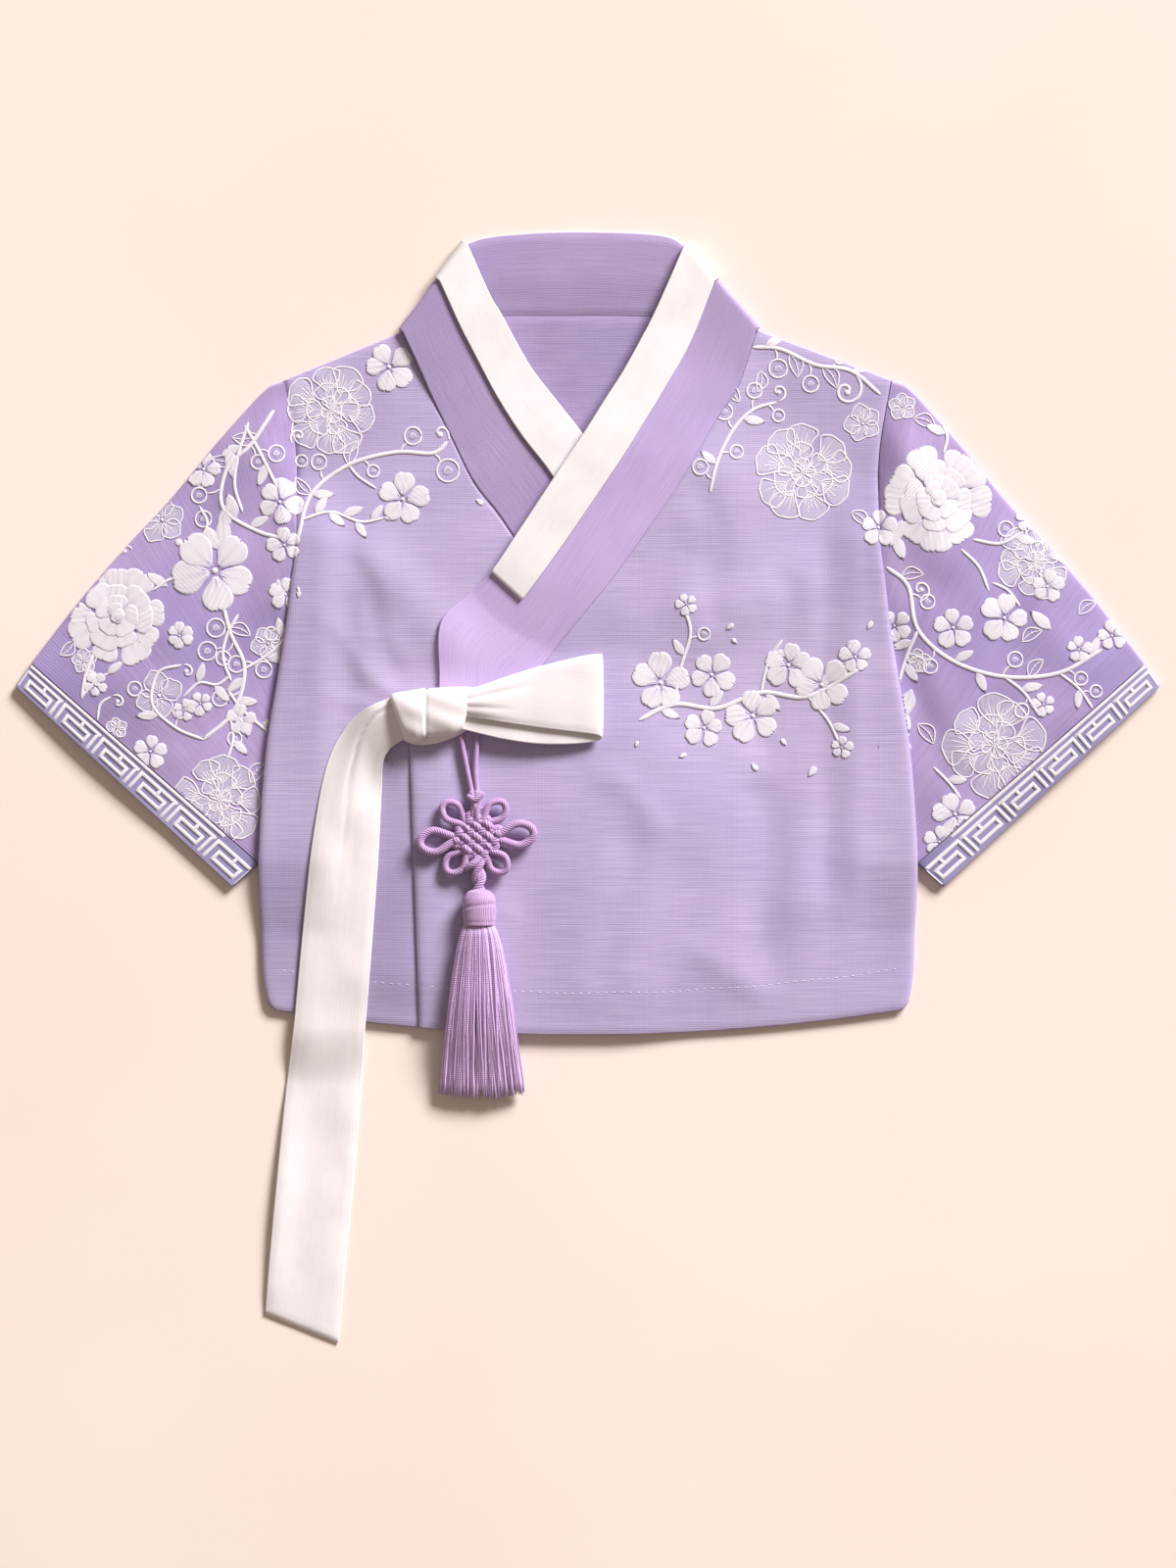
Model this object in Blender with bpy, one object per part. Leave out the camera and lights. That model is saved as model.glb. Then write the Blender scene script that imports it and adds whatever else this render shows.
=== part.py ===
"""Child's Korean hanbok jacket (jeogori), laid out flat with its front up.

Lavender linen body and short sleeves, a crossed collar band (git) with its white
over-collar (dongjeong), patterned cuff bands, a white ribbon tie (goreum) in a half bow,
and a knotted pendant with a tassel (norigae). Every piece of cloth is a closed wall that
lies on the piece below it.

Axes: +Z up from the surface it lies on, +Y from hem to neck, +X to the wearer's left.
Tables and sizes are in millimetres, measured from the centre line ("out" or x), up from
the hem's lowest point ("up" or y) and above the surface (z). Meshes are in metres.
"""

import math

import bmesh
import bpy

MM = 0.001

# Thickness of each kind of cloth, and the clearances between pieces
CLOTH = 1.2        # linen panel
BAND = 1.4         # collar band, two layers of linen
WHITE = 1.0        # over-collar and ribbon
GAP = 0.4          # between a piece and the one that it lies on
SEAM = 0.4         # between two pieces that are sewn edge to edge

# Body: the sides, one row for each height, the same on both sides
BODY_SIDE = (
    # up, out
    (12.6, 160.5),
    (17.5, 163.5),
    (52.5, 166.5),
    (88.0, 167.5),
    (108.0, 166.5),
    (150.0, 163.0),
    (183.0, 157.5),
    (212.0, 153.0),
    (233.0, 150.8),
    (246.0, 148.8),
    (262.0, 148.0),
    (296.0, 148.5),
    (333.0, 154.5),
)
HEM_RADIUS = 1022.0
ARMPIT_UP, ARMPIT_OUT = 212.0, 141.0     # under the body's side
TUCK_UP = 246.0                          # below this the body lies over the sleeve
SHOULDER_POINTS = (0.33, 0.67)           # extra columns between neck and shoulder tip

# The body rides up over the sleeve's underarm: height, and where it starts and is full
RIDE = 3.4
RIDE_INSIDE, RIDE_FULL = 118.0, 139.0
RIDE_FADE = ((52.5, 0.0), (88.0, 1.0), (252.0, 1.0), (285.0, 0.0))     # up, share

# Collar band, one row for each section from the neck's fold to its end:
# the free edge, then the edge that is sewn to the front
COLLAR_RIGHT_HAND = (      # wearer's right, which goes under
    # free x, free y, sewn x, sewn y
    (-61.8, 402.5, -94.2, 358.0),
    (-50.2, 376.5, -86.0, 340.5),
    (-44.0, 366.0, -79.5, 325.5),
    (-30.0, 340.8, -69.0, 304.0),
    (-16.5, 323.0, -58.0, 282.0),
    (-2.5, 305.0, -45.0, 265.0),
    (12.5, 282.5, -30.0, 242.5),
    (27.5, 260.0, -15.0, 220.0),
)
COLLAR_LEFT_HAND = (       # wearer's left, which lies on top and ends square
    # free x, free y, sewn x, sewn y
    (49.0, 401.5, 85.5, 359.0),
    (34.0, 367.5, 76.0, 331.0),
    (20.0, 340.8, 64.5, 312.5),
    (8.5, 322.5, 54.5, 295.0),
    (-2.5, 305.0, 43.5, 277.0),
    (-18.0, 282.0, 28.5, 255.0),
    (-33.5, 258.5, 11.5, 231.5),
    (-49.0, 235.5, -12.5, 202.0),
    (-62.0, 222.2, -23.5, 188.0),
    (-75.0, 209.0, -35.0, 174.0),
    (-75.5, 182.5, -46.0, 161.0),
    (-75.5, 158.5, -50.0, 156.5),
)
COLLAR_BACK = (            # from the wearer's right to the left
    # free x, free y, sewn x, sewn y
    (-61.8, 402.5, -94.2, 358.0),
    (-52.0, 405.5, -72.0, 363.0),
    (-36.0, 407.3, -45.0, 366.2),
    (-10.0, 408.5, -15.0, 366.5),
    (20.0, 408.0, 15.0, 366.5),
    (35.0, 407.0, 38.0, 365.8),
    (43.5, 405.0, 62.0, 363.0),
    (49.0, 401.5, 85.5, 359.0),
)
BAND_SHARES = (0.0, 0.21, 0.42, 0.7, 1.0)     # columns across the band
WHITE_SHARES = (0.0, 0.14, 0.28, 0.42)        # the over-collar's part of it
WHITE_ENDS = 7, 8          # over-collar's sections on the wearer's right and left
BACK_LIFT = 2.1            # the back band's middle, above its over-collar
NECK_ROLL = 2.6            # extra height of the band at the neck's fold
ROLL_SECTIONS = 3
ROLL_OUT, ROLL_UP = 0.8, 0.6    # how far the turn swells, as shares of a half circle
NECK_MIDDLE = -4.0              # the neck's middle line, x

# Fronts: where their free edges are
OUTER_EDGE = ((-85.7, 0.0), (-91.0, 1.0))     # x, share of the height
OUTER_TOP = 157.0
INNER_EDGE = 15.0                             # hidden under the outer front
INNER_TOP = 178.0
CROSS_X, CROSS_Y = 5.0, 275.0                 # where the collar crosses
CROSS_FULL, CROSS_NONE = 48.0, 112.0          # how far from it the top layer is lifted
CROSS_LIFT = 3.5
STEP_FROM, STEP_TO = 60.0, 15.0               # the top layer climbs the inner front

# Soft folds in the fronts, as low ridges
FOLDS = (
    # from x, from y, to x, to y, half width, height
    (-140.0, 250.0, -70.0, 205.0, 16.0, 1.3),
    (-128.0, 118.0, -112.0, 200.0, 14.0, 1.0),
    (140.0, 246.0, 62.0, 214.0, 18.0, 1.4),
    (128.0, 205.0, 118.0, 70.0, 20.0, 1.2),
    (30.0, 150.0, 70.0, 60.0, 24.0, 1.0),
)
AIR = 0.9                                     # loft in the middle of the fronts

# Sleeve, one row for each ring from the armhole to the cuff, mirrored for the other
SLEEVE = (
    # top out, top up, underarm out, underarm up, loft
    (155.0, 333.4, 141.0, 212.0, 1.2),
    (163.5, 329.0, 140.5, 196.0, 1.6),
    (176.0, 316.2, 140.5, 180.0, 2.0),
    (192.0, 298.0, 141.5, 160.0, 2.3),
    (213.0, 272.5, 144.0, 140.0, 2.4),
    (235.0, 249.0, 148.5, 121.0, 2.2),
    (259.0, 221.0, 156.0, 102.5, 1.8),
    (283.6, 189.4, 167.2, 87.4, 1.4),
)
CUFF = (
    # top out, top up, underarm out, underarm up, loft
    (284.1, 188.6, 167.9, 86.5, 1.4),
    (291.8, 177.5, 181.0, 75.0, 1.2),
)
ACROSS = (0.015, 0.12, 0.3, 0.5, 0.7, 0.88, 0.985)     # ring points, top to underarm
FLAT_FROM = 0.70           # past this share of a ring the sleeve is pressed flat

# Ribbon tie: the tail's two edges, the half bow's sections and the knot's
TAIL = (
    # left x, left y, right x, right y
    (-98.8, 171.5, -96.4, 150.0),
    (-108.0, 167.5, -99.0, 146.5),
    (-119.0, 161.0, -103.2, 142.0),
    (-130.5, 145.0, -105.0, 133.0),
    (-136.0, 131.0, -105.8, 122.0),
    (-140.5, 99.0, -107.2, 91.0),
    (-144.5, 59.0, -110.0, 50.0),
    (-148.0, 22.0, -112.5, 18.0),
    (-149.5, 6.0, -113.8, 3.0),
    (-151.5, -10.0, -115.0, -12.0),
    (-154.0, -30.0, -116.5, -32.0),
    (-158.5, -75.0, -120.5, -80.0),
    (-162.0, -112.0, -124.5, -120.0),
    (-164.5, -142.5, -127.5, -157.5),
)
TAIL_SHARES = (0.0, 0.35, 0.7, 1.0)
TAIL_OFF_HEM = (-26.0, 4.0)     # between these heights it drops to the surface
TAIL_LIFT = 5.4                 # how far it stands off the front beside the knot
TAIL_LIFT_UP = (118.0, 168.0)   # between these heights the lift comes in
TAIL_LIFT_ACROSS = (-132.0, -104.0)
LOOP = (
    # x, low y, high y, middle z; out along the back layer, back along the front one
    (-61.6, 155.6, 174.4, 11.3),
    (-53.0, 153.4, 176.8, 11.1),
    (-42.0, 150.6, 181.0, 10.8),
    (-26.0, 148.5, 186.0, 10.0),
    (-10.0, 149.2, 190.0, 9.2),
    (0.0, 150.6, 192.4, 8.5),
    (4.6, 151.6, 193.2, 8.2),
    (6.4, 152.4, 193.4, 9.2),
    (4.6, 153.2, 193.4, 10.3),
    (0.0, 154.0, 192.8, 10.9),
    (-10.0, 155.4, 190.6, 11.4),
    (-26.0, 157.4, 186.6, 12.2),
    (-42.0, 159.4, 181.6, 13.0),
    (-53.0, 160.6, 177.6, 13.4),
    (-61.6, 161.8, 175.2, 13.4),
)
LOOP_SHARES = (0.0, 0.33, 0.67, 1.0)
KNOT = (
    # x, low y, high y, low z, high z
    (-95.8, 151.5, 170.5, 8.0, 13.6),
    (-94.0, 149.2, 173.4, 6.8, 15.6),
    (-89.0, 147.6, 175.4, 6.2, 17.4),
    (-82.0, 147.0, 176.2, 6.2, 18.0),
    (-72.0, 149.0, 176.8, 6.6, 17.6),
    (-66.5, 152.4, 176.9, 7.2, 16.6),
    (-63.8, 154.6, 176.2, 8.4, 15.2),
    (-62.6, 157.4, 174.6, 9.8, 13.8),
)
ROUND_SIDES = 12

# Pendant: hanger strands, knotted body with six loops, neck, tassel head and skirt
CORD = 3.5
STRANDS = (
    # x, y of each strand's points, from under the bow to the knotted body
    ((-64.6, 153.5), (-63.6, 146.0), (-61.6, 135.0), (-59.7, 124.0), (-58.7, 113.4)),
    ((-56.0, 153.5), (-55.6, 146.0), (-55.6, 135.0), (-55.4, 124.0), (-54.8, 113.4)),
)
KNOT_X, KNOT_Y = -56.3, 100.5
KNOT_WIDE, KNOT_TALL, KNOT_THICK = 25.0, 21.0, 7.0
KNOT_TILT = math.radians(4.0)
KNOT_LEVELS = ((0.0, 0.86), (0.25, 1.0), (0.75, 1.0), (1.0, 0.86))  # share up, size
KNOT_SIDES = 16
KNOT_SQUARENESS = 0.6           # 0 is round, 1 is square
EARS = (
    # x, y of the loop's middle, half length, half width, direction in degrees
    (-69.6, 113.9, 6.2, 4.8, 128.0),
    (-46.4, 114.3, 6.2, 4.8, 50.0),
    (-77.6, 99.0, 7.4, 5.8, 184.0),
    (-35.0, 102.6, 7.4, 5.8, 4.0),
    (-69.0, 87.4, 6.2, 4.8, 230.0),
    (-45.0, 87.6, 6.2, 4.8, 310.0),
)
EAR_TURN = math.radians(118.0)     # how far each side of its tip the loop goes round
NECK_DIAMETER = 5.8
NECK_HEIGHT = 3.5               # its middle above the front
NECK_FROM, NECK_TO = 88.6, 74.4
TASSEL_X = -55.4
TASSEL_HEAD = (
    # up, half width, low z, thickness
    (74.0, 4.4, 7.0, 7.6),
    (72.4, 7.6, 6.2, 9.8),
    (70.0, 9.0, 5.8, 11.0),
    (60.0, 9.2, 5.8, 11.2),
    (57.4, 8.6, 6.0, 10.8),
    (56.0, 7.2, 6.4, 9.8),
)
TASSEL_SKIRT = (
    # up, x, half width, low z, thickness
    (55.6, -55.4, 7.0, 6.0, 9.4),
    (50.0, -55.2, 9.0, 5.6, 10.0),
    (38.0, -55.0, 12.6, 5.6, 9.6),
    (20.0, -54.6, 16.4, 5.8, 8.4),
    (5.0, -54.4, 18.6, 5.6, 7.4),
    (-6.0, -54.2, 20.2, 3.4, 7.0),
    (-18.0, -54.0, 21.8, 0.9, 6.6),
    (-33.0, -54.0, 22.8, 0.0, 5.6),
)

LAVENDER = (0.49, 0.38, 0.66, 1.0)
DEEP_LAVENDER = (0.40, 0.30, 0.60, 1.0)
CUFF_GREY = (0.42, 0.40, 0.62, 1.0)
OFF_WHITE = (0.93, 0.91, 0.89, 1.0)
MAUVE = (0.45, 0.24, 0.55, 1.0)


def clear_scene():
    for thing in list(bpy.data.objects):
        bpy.data.objects.remove(thing, do_unlink=True)


def material(name, colour, roughness):
    made = bpy.data.materials.new(name)
    made.use_nodes = True
    shader = made.node_tree.nodes["Principled BSDF"]
    shader.inputs["Base Color"].default_value = colour
    shader.inputs["Roughness"].default_value = roughness
    shader.inputs["Metallic"].default_value = 0.0
    return made


def blend(low, high, value):
    """0 at low, 1 at high, smooth between; low may be the greater."""
    share = min(max((value - low) / (high - low), 0.0), 1.0)
    return share * share * (3.0 - 2.0 * share)


def along(table, value):
    """Straight interpolation in a table of (at, value) rows."""
    if value <= table[0][0]:
        return table[0][1]
    for (a, from_a), (b, from_b) in zip(table, table[1:]):
        if value <= b:
            return from_a + (from_b - from_a) * (value - a) / (b - a)
    return table[-1][1]


def between(a, b, share):
    return tuple(p + (q - p) * share for p, q in zip(a, b))


# Heights of the layers, all from the surface up

def ride(x, y):
    """How far the body is lifted by the sleeve that it lies over."""
    return RIDE * blend(RIDE_INSIDE, RIDE_FULL, abs(x)) * along(RIDE_FADE, y)


def air(x, y):
    """Loft under the fronts: a low crown and the folds, dying out at the edges."""
    inside = blend(0.0, 30.0, y - x * x / (2.0 * HEM_RADIUS)) * blend(0.0, 45.0, 148.0 - abs(x))
    inside *= blend(0.0, 40.0, 345.0 - 0.4 * abs(x) - y)
    height = AIR
    for ax, ay, bx, by, half, tall in FOLDS:
        length = math.hypot(bx - ax, by - ay)
        run = ((x - ax) * (bx - ax) + (y - ay) * (by - ay)) / length
        side = ((x - ax) * (by - ay) - (y - ay) * (bx - ax)) / length
        past = max(-run, run - length, 0.0)
        height += tall * math.exp(-((side / half) ** 2) - (past / half) ** 2)
    return height * inside


def inner_under(x, y):
    return ride(x, y) + CLOTH + GAP + air(x, y)


def outer_under(x, y):
    step = (CLOTH + GAP) * blend(STEP_FROM, STEP_TO, x)
    crossing = blend(CROSS_NONE, CROSS_FULL, math.hypot(x - CROSS_X, y - CROSS_Y))
    return inner_under(x, y) + max(step, CROSS_LIFT * crossing)


# Meshes

def add_object(name, points, faces, finish):
    mesh = bpy.data.meshes.new(name)
    mesh.from_pydata([tuple(c * MM for c in p) for p in points], [], faces)
    shape = bmesh.new()
    shape.from_mesh(mesh)
    bmesh.ops.recalc_face_normals(shape, faces=shape.faces)
    shape.to_mesh(mesh)
    shape.free()
    mesh.materials.append(finish)
    mesh.shade_smooth()
    mesh.set_sharp_from_angle(angle=math.radians(40.0))
    made = bpy.data.objects.new(name, mesh)
    bpy.context.collection.objects.link(made)
    return made


def facing(grid, i, j):
    """The unit normal of a grid's middle surface at one of its points."""
    ahead = grid[min(i + 1, len(grid) - 1)][j]
    behind = grid[max(i - 1, 0)][j]
    right = grid[i][min(j + 1, len(grid[i]) - 1)]
    left = grid[i][max(j - 1, 0)]
    u = [r - s for r, s in zip(right, left)]
    v = [r - s for r, s in zip(ahead, behind)]
    n = (
        u[1] * v[2] - u[2] * v[1],
        u[2] * v[0] - u[0] * v[2],
        u[0] * v[1] - u[1] * v[0],
    )
    size = math.sqrt(sum(c * c for c in n))
    return tuple(c / size for c in n)


def cloth_wall(name, grid, thickness, finish, level=False):
    """A closed wall about a grid of middle points; a level one is thickened straight up."""
    rows, columns = len(grid), len(grid[0])
    points = []
    for sign in (0.5, -0.5):
        for i in range(rows):
            for j in range(columns):
                way = (0.0, 0.0, 1.0) if level else facing(grid, i, j)
                points.append(tuple(
                    p + w * sign * thickness for p, w in zip(grid[i][j], way)
                ))
    under = rows * columns
    faces = []
    for i in range(rows - 1):
        for j in range(columns - 1):
            a = i * columns + j
            b = a + columns
            faces.append((a, a + 1, b + 1, b))
            faces.append((under + a, under + b, under + b + 1, under + a + 1))
    rim = [j for j in range(columns)]
    rim += [i * columns + columns - 1 for i in range(1, rows)]
    rim += [(rows - 1) * columns + j for j in range(columns - 2, -1, -1)]
    rim += [i * columns for i in range(rows - 2, 0, -1)]
    for a, b in zip(rim, rim[1:] + rim[:1]):
        faces.append((a, under + a, under + b, b))
    return add_object(name, points, faces, finish)


def tube_wall(name, rings, finish):
    """An open tube; each ring is a pair of loops, outer and inner, of equal count."""
    count = len(rings[0][0])
    points = [p for outer, inner in rings for p in outer + inner]
    faces = []
    for k in range(count):
        nxt = (k + 1) % count
        for i in range(len(rings) - 1):
            a = i * 2 * count
            b = a + 2 * count
            faces.append((a + k, a + nxt, b + nxt, b + k))
            faces.append((a + count + k, b + count + k, b + count + nxt, a + count + nxt))
        for a in (0, (len(rings) - 1) * 2 * count):
            faces.append((a + k, a + nxt, a + count + nxt, a + count + k))
    return add_object(name, points, faces, finish)


def loft_solid(name, rings, finish):
    """A closed solid through loops of equal count, capped at both ends."""
    count = len(rings[0])
    points = [p for ring in rings for p in ring]
    faces = [tuple(range(count)), tuple(range(len(points) - count, len(points)))]
    for i in range(len(rings) - 1):
        for k in range(count):
            nxt = (k + 1) % count
            a = i * count
            faces.append((a + k, a + nxt, a + count + nxt, a + count + k))
    return add_object(name, points, faces, finish)


def cord_tube(name, path, diameter, finish):
    """A round cord along a list of points, as a curve with a bevel and filled caps."""
    curve = bpy.data.curves.new(name, "CURVE")
    curve.dimensions = "3D"
    curve.bevel_depth = diameter * MM / 2.0
    curve.bevel_resolution = 2
    curve.use_fill_caps = True
    spline = curve.splines.new("POLY")
    spline.points.add(len(path) - 1)
    for point, place in zip(spline.points, path):
        point.co = (place[0] * MM, place[1] * MM, place[2] * MM, 1.0)
    curve.materials.append(finish)
    made = bpy.data.objects.new(name, curve)
    bpy.context.collection.objects.link(made)
    return made


# Body

def shoulder_points(neck_x, neck_y):
    """The shoulder line's points from the neck (left out) to the shoulder's tip."""
    tip_y, tip_x = BODY_SIDE[-1]
    tip = (math.copysign(tip_x, neck_x), tip_y)
    return [between((neck_x, neck_y), tip, s) for s in (*SHOULDER_POINTS, 1.0)]


def seam_points(sections):
    """The points of a panel's edge along a collar seam, a seam's gap off the band."""
    edge = []
    for free_x, free_y, sewn_x, sewn_y in sections:
        width = math.hypot(sewn_x - free_x, sewn_y - free_y)
        edge.append((
            sewn_x + SEAM * (sewn_x - free_x) / width,
            sewn_y + SEAM * (sewn_y - free_y) / width,
        ))
    return edge


def panel(name, top, left_edge, right_edge, under, finish):
    """A body panel: columns from its top edge's points down to the hem, rows by height."""
    low, high = BODY_SIDE[0][0], BODY_SIDE[-1][0]
    wide = top[-1][0] - top[0][0]
    hem_left, hem_right = left_edge(0.0), right_edge(0.0)
    grid = []
    for up, _ in BODY_SIDE:
        share = (up - low) / (high - low)
        left, right = left_edge(share), right_edge(share)
        row = []
        for top_x, top_y in top:
            across = (top_x - top[0][0]) / wide
            x = left + across * (right - left)
            hem_x = hem_left + across * (hem_right - hem_left)
            hem_y = hem_x * hem_x / (2.0 * HEM_RADIUS)
            y = hem_y + share * (top_y - hem_y)
            row.append((x, y, under(x, y) + CLOTH / 2.0))
        grid.append(row)
    return cloth_wall(name, grid, CLOTH, finish, level=True)


def side_at(share):
    low, high = BODY_SIDE[0][0], BODY_SIDE[-1][0]
    return along(BODY_SIDE, low + share * (high - low))


def build_body(finish):
    back_top = shoulder_points(*COLLAR_BACK[0][2:])[::-1]
    back_top += seam_points(COLLAR_BACK)
    back_top += shoulder_points(*COLLAR_BACK[-1][2:])
    panel("back_panel", back_top, lambda s: -side_at(s), side_at, ride, finish)

    inner_top = shoulder_points(*COLLAR_RIGHT_HAND[0][2:])[::-1]
    inner_top += seam_points(COLLAR_RIGHT_HAND)
    inner_top.append((INNER_EDGE, INNER_TOP))
    panel("front_inner", inner_top, lambda s: -side_at(s), lambda s: INNER_EDGE,
          inner_under, finish)

    outer_top = [(OUTER_EDGE[1][0], OUTER_TOP)]
    outer_top += seam_points(COLLAR_LEFT_HAND)[::-1]
    outer_top += shoulder_points(*COLLAR_LEFT_HAND[0][2:])
    panel("front_outer", outer_top,
          lambda s: OUTER_EDGE[0][0] + s * (OUTER_EDGE[1][0] - OUTER_EDGE[0][0]),
          side_at, outer_under, finish)


# Collar

def collar_section(row, shares, height):
    free, sewn = row[:2], row[2:]
    section = []
    for share in shares:
        x, y = between(free, sewn, share)
        section.append((x, y, height(x, y, share)))
    return section


def collar_sections(shares, right_end, left_end):
    """The band's middle surface, from the hidden end round the neck to the square end."""
    def back_height(x, y, share):
        return BAND / 2.0 + (BACK_LIFT - BAND / 2.0) * blend(1.0, 0.5, share)

    def front_height(under, roll):
        return lambda x, y, share: under(x, y) + BAND / 2.0 + roll

    sections = []
    for k in range(right_end - 1, -1, -1):
        roll = NECK_ROLL * blend(3.0, 0.0, k)
        sections.append(collar_section(
            COLLAR_RIGHT_HAND[k], shares, front_height(inner_under, roll)))
    back = [collar_section(row, shares, back_height) for row in COLLAR_BACK]
    front = [
        collar_section(
            COLLAR_LEFT_HAND[k], shares,
            front_height(outer_under, NECK_ROLL * blend(3.0, 0.0, k)))
        for k in range(left_end)
    ]
    sections += rolled(sections[-1], back[0]) + back
    sections += rolled(back[-1], front[0]) + front
    return sections


def rolled(start, end):
    """Sections that turn the band over, from one layer to the other, at the neck."""
    turn = []
    for k in range(1, ROLL_SECTIONS + 1):
        angle = math.pi * k / (ROLL_SECTIONS + 1)
        section = []
        for p, q in zip(start, end):
            middle = between(p, q, 0.5)
            half = abs(p[2] - q[2]) / 2.0
            outward = half * math.sin(angle) * (1.0 if p[0] > NECK_MIDDLE else -1.0)
            z = middle[2] + (p[2] - q[2]) / 2.0 * math.cos(angle)
            section.append((
                middle[0] + outward * ROLL_OUT,
                middle[1] + half * math.sin(angle) * ROLL_UP,
                z,
            ))
        turn.append(section)
    return turn


def build_collar(lavender, white):
    band = collar_sections(BAND_SHARES, len(COLLAR_RIGHT_HAND), len(COLLAR_LEFT_HAND))
    cloth_wall("collar_band", band, BAND, lavender)

    right_end, left_end = WHITE_ENDS
    carrier = collar_sections(WHITE_SHARES, right_end, left_end)
    out = BAND / 2.0 + GAP + WHITE / 2.0
    strip = []
    for i, section in enumerate(carrier):
        strip.append([
            tuple(p - n * out for p, n in zip(section[j], facing(carrier, i, j)))
            for j in range(len(section))
        ])
    cloth_wall("over_collar", strip, WHITE, white)


# Sleeves

def armhole(up):
    if up >= TUCK_UP:
        return along(BODY_SIDE, up)
    side = along(BODY_SIDE, TUCK_UP)
    return ARMPIT_OUT + (side - ARMPIT_OUT) * (up - ARMPIT_UP) / (TUCK_UP - ARMPIT_UP)


def sleeve_ring(row, mirror, follow_armhole):
    top_out, top_up, under_out, under_up, loft = row
    top, under = (top_out, top_up), (under_out, under_up)
    chord = math.hypot(top_out - under_out, top_up - under_up)
    pressed = 2.0 * CLOTH + GAP
    inset = CLOTH / chord

    def place(share, z):
        out, up = between(top, under, share)
        if follow_armhole:
            out = armhole(up) + SEAM
        return (mirror * out, up, z)

    def crown(share):
        return loft * math.sin(math.pi * min(share / FLAT_FROM, 1.0))

    def inside(share):
        return min(max(share, 2.0 * inset), 1.0 - 2.0 * inset)

    outer = [place(0.0, pressed / 2.0)]
    outer += [place(s, 0.0) for s in ACROSS]
    outer += [place(1.0, pressed / 2.0)]
    outer += [place(s, pressed + crown(s)) for s in reversed(ACROSS)]
    inner = [place(inset, pressed / 2.0)]
    inner += [place(inside(s), CLOTH) for s in ACROSS]
    inner += [place(1.0 - inset, pressed / 2.0)]
    inner += [place(inside(s), CLOTH + GAP + crown(s)) for s in reversed(ACROSS)]
    return outer, inner


def build_sleeves(lavender, cuff_cloth):
    for side, mirror in (("right", -1.0), ("left", 1.0)):
        rings = [sleeve_ring(row, mirror, k == 0) for k, row in enumerate(SLEEVE)]
        tube_wall(f"sleeve_{side}", rings, lavender)
        rings = [sleeve_ring(row, mirror, False) for row in CUFF]
        tube_wall(f"cuff_band_{side}", rings, cuff_cloth)


# Ribbon tie

def build_tie(white):
    grid = []
    for left_x, left_y, right_x, right_y in TAIL:
        row = []
        for share in TAIL_SHARES:
            x, y = between((left_x, left_y), (right_x, right_y), share)
            on_front = max(inner_under(x, y) + CLOTH + GAP, outer_under(x, y) + CLOTH / 2.0)
            z = on_front * blend(*TAIL_OFF_HEM, y) + WHITE / 2.0
            lift = TAIL_LIFT * blend(*TAIL_LIFT_UP, y) * blend(*TAIL_LIFT_ACROSS, x)
            row.append((x, y, z + lift))
        grid.append(row)
    cloth_wall("tie_tail", grid[::-1], WHITE, white)

    loop = []
    for x, low, high, z in LOOP:
        loop.append([(x, low + (high - low) * share, z) for share in LOOP_SHARES])
    cloth_wall("tie_loop", loop, WHITE, white)

    rings = []
    for x, low, high, z_low, z_high in KNOT:
        rings.append([
            (x, (low + high) / 2.0 + (high - low) / 2.0 * math.cos(a),
             (z_low + z_high) / 2.0 + (z_high - z_low) / 2.0 * math.sin(a))
            for a in (math.tau * k / ROUND_SIDES for k in range(ROUND_SIDES))
        ])
    loft_solid("tie_knot", rings, white)


# Pendant

def on_outer(x, y):
    """The least height of a piece that lies on the outer front and its collar end."""
    return outer_under(x, y) + BAND + GAP


def build_pendant(mauve):
    for k, route in enumerate(STRANDS):
        path = [(x, y, on_outer(x, y) + CORD / 2.0) for x, y in route]
        cord_tube(f"pendant_strand_{k + 1}", path, CORD, mauve)

    base = on_outer(KNOT_X, KNOT_Y)
    rings = []
    for share, size in KNOT_LEVELS:
        ring = []
        for k in range(KNOT_SIDES):
            angle = math.tau * (k + 0.5) / KNOT_SIDES
            squared = max(abs(math.cos(angle)), abs(math.sin(angle))) ** KNOT_SQUARENESS
            x = KNOT_WIDE / 2.0 * size * math.cos(angle) / squared
            y = KNOT_TALL / 2.0 * size * math.sin(angle) / squared
            ring.append((
                KNOT_X + x * math.cos(KNOT_TILT) - y * math.sin(KNOT_TILT),
                KNOT_Y + x * math.sin(KNOT_TILT) + y * math.cos(KNOT_TILT),
                base + KNOT_THICK * share,
            ))
        rings.append(ring)
    loft_solid("pendant_knot", rings, mauve)

    for k, (x, y, length, width, heading) in enumerate(EARS):
        way = math.radians(heading)
        path = []
        for step in range(11):
            turn = EAR_TURN * (step / 5.0 - 1.0)
            ahead, aside = length * math.cos(turn), width * math.sin(turn)
            path.append((
                x + ahead * math.cos(way) - aside * math.sin(way),
                y + ahead * math.sin(way) + aside * math.cos(way),
                base + KNOT_THICK / 2.0,
            ))
        cord_tube(f"pendant_ear_{k + 1}", path, CORD, mauve)

    neck = [(TASSEL_X, y, base + NECK_HEIGHT) for y in (NECK_FROM, (NECK_FROM + NECK_TO) / 2.0, NECK_TO)]
    cord_tube("pendant_neck", neck, NECK_DIAMETER, mauve)

    head = [oval(TASSEL_X, *row) for row in TASSEL_HEAD]
    loft_solid("tassel_head", head, mauve)
    skirt = [oval(x, up, *rest) for up, x, *rest in TASSEL_SKIRT]
    loft_solid("tassel_skirt", skirt, mauve)


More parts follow.
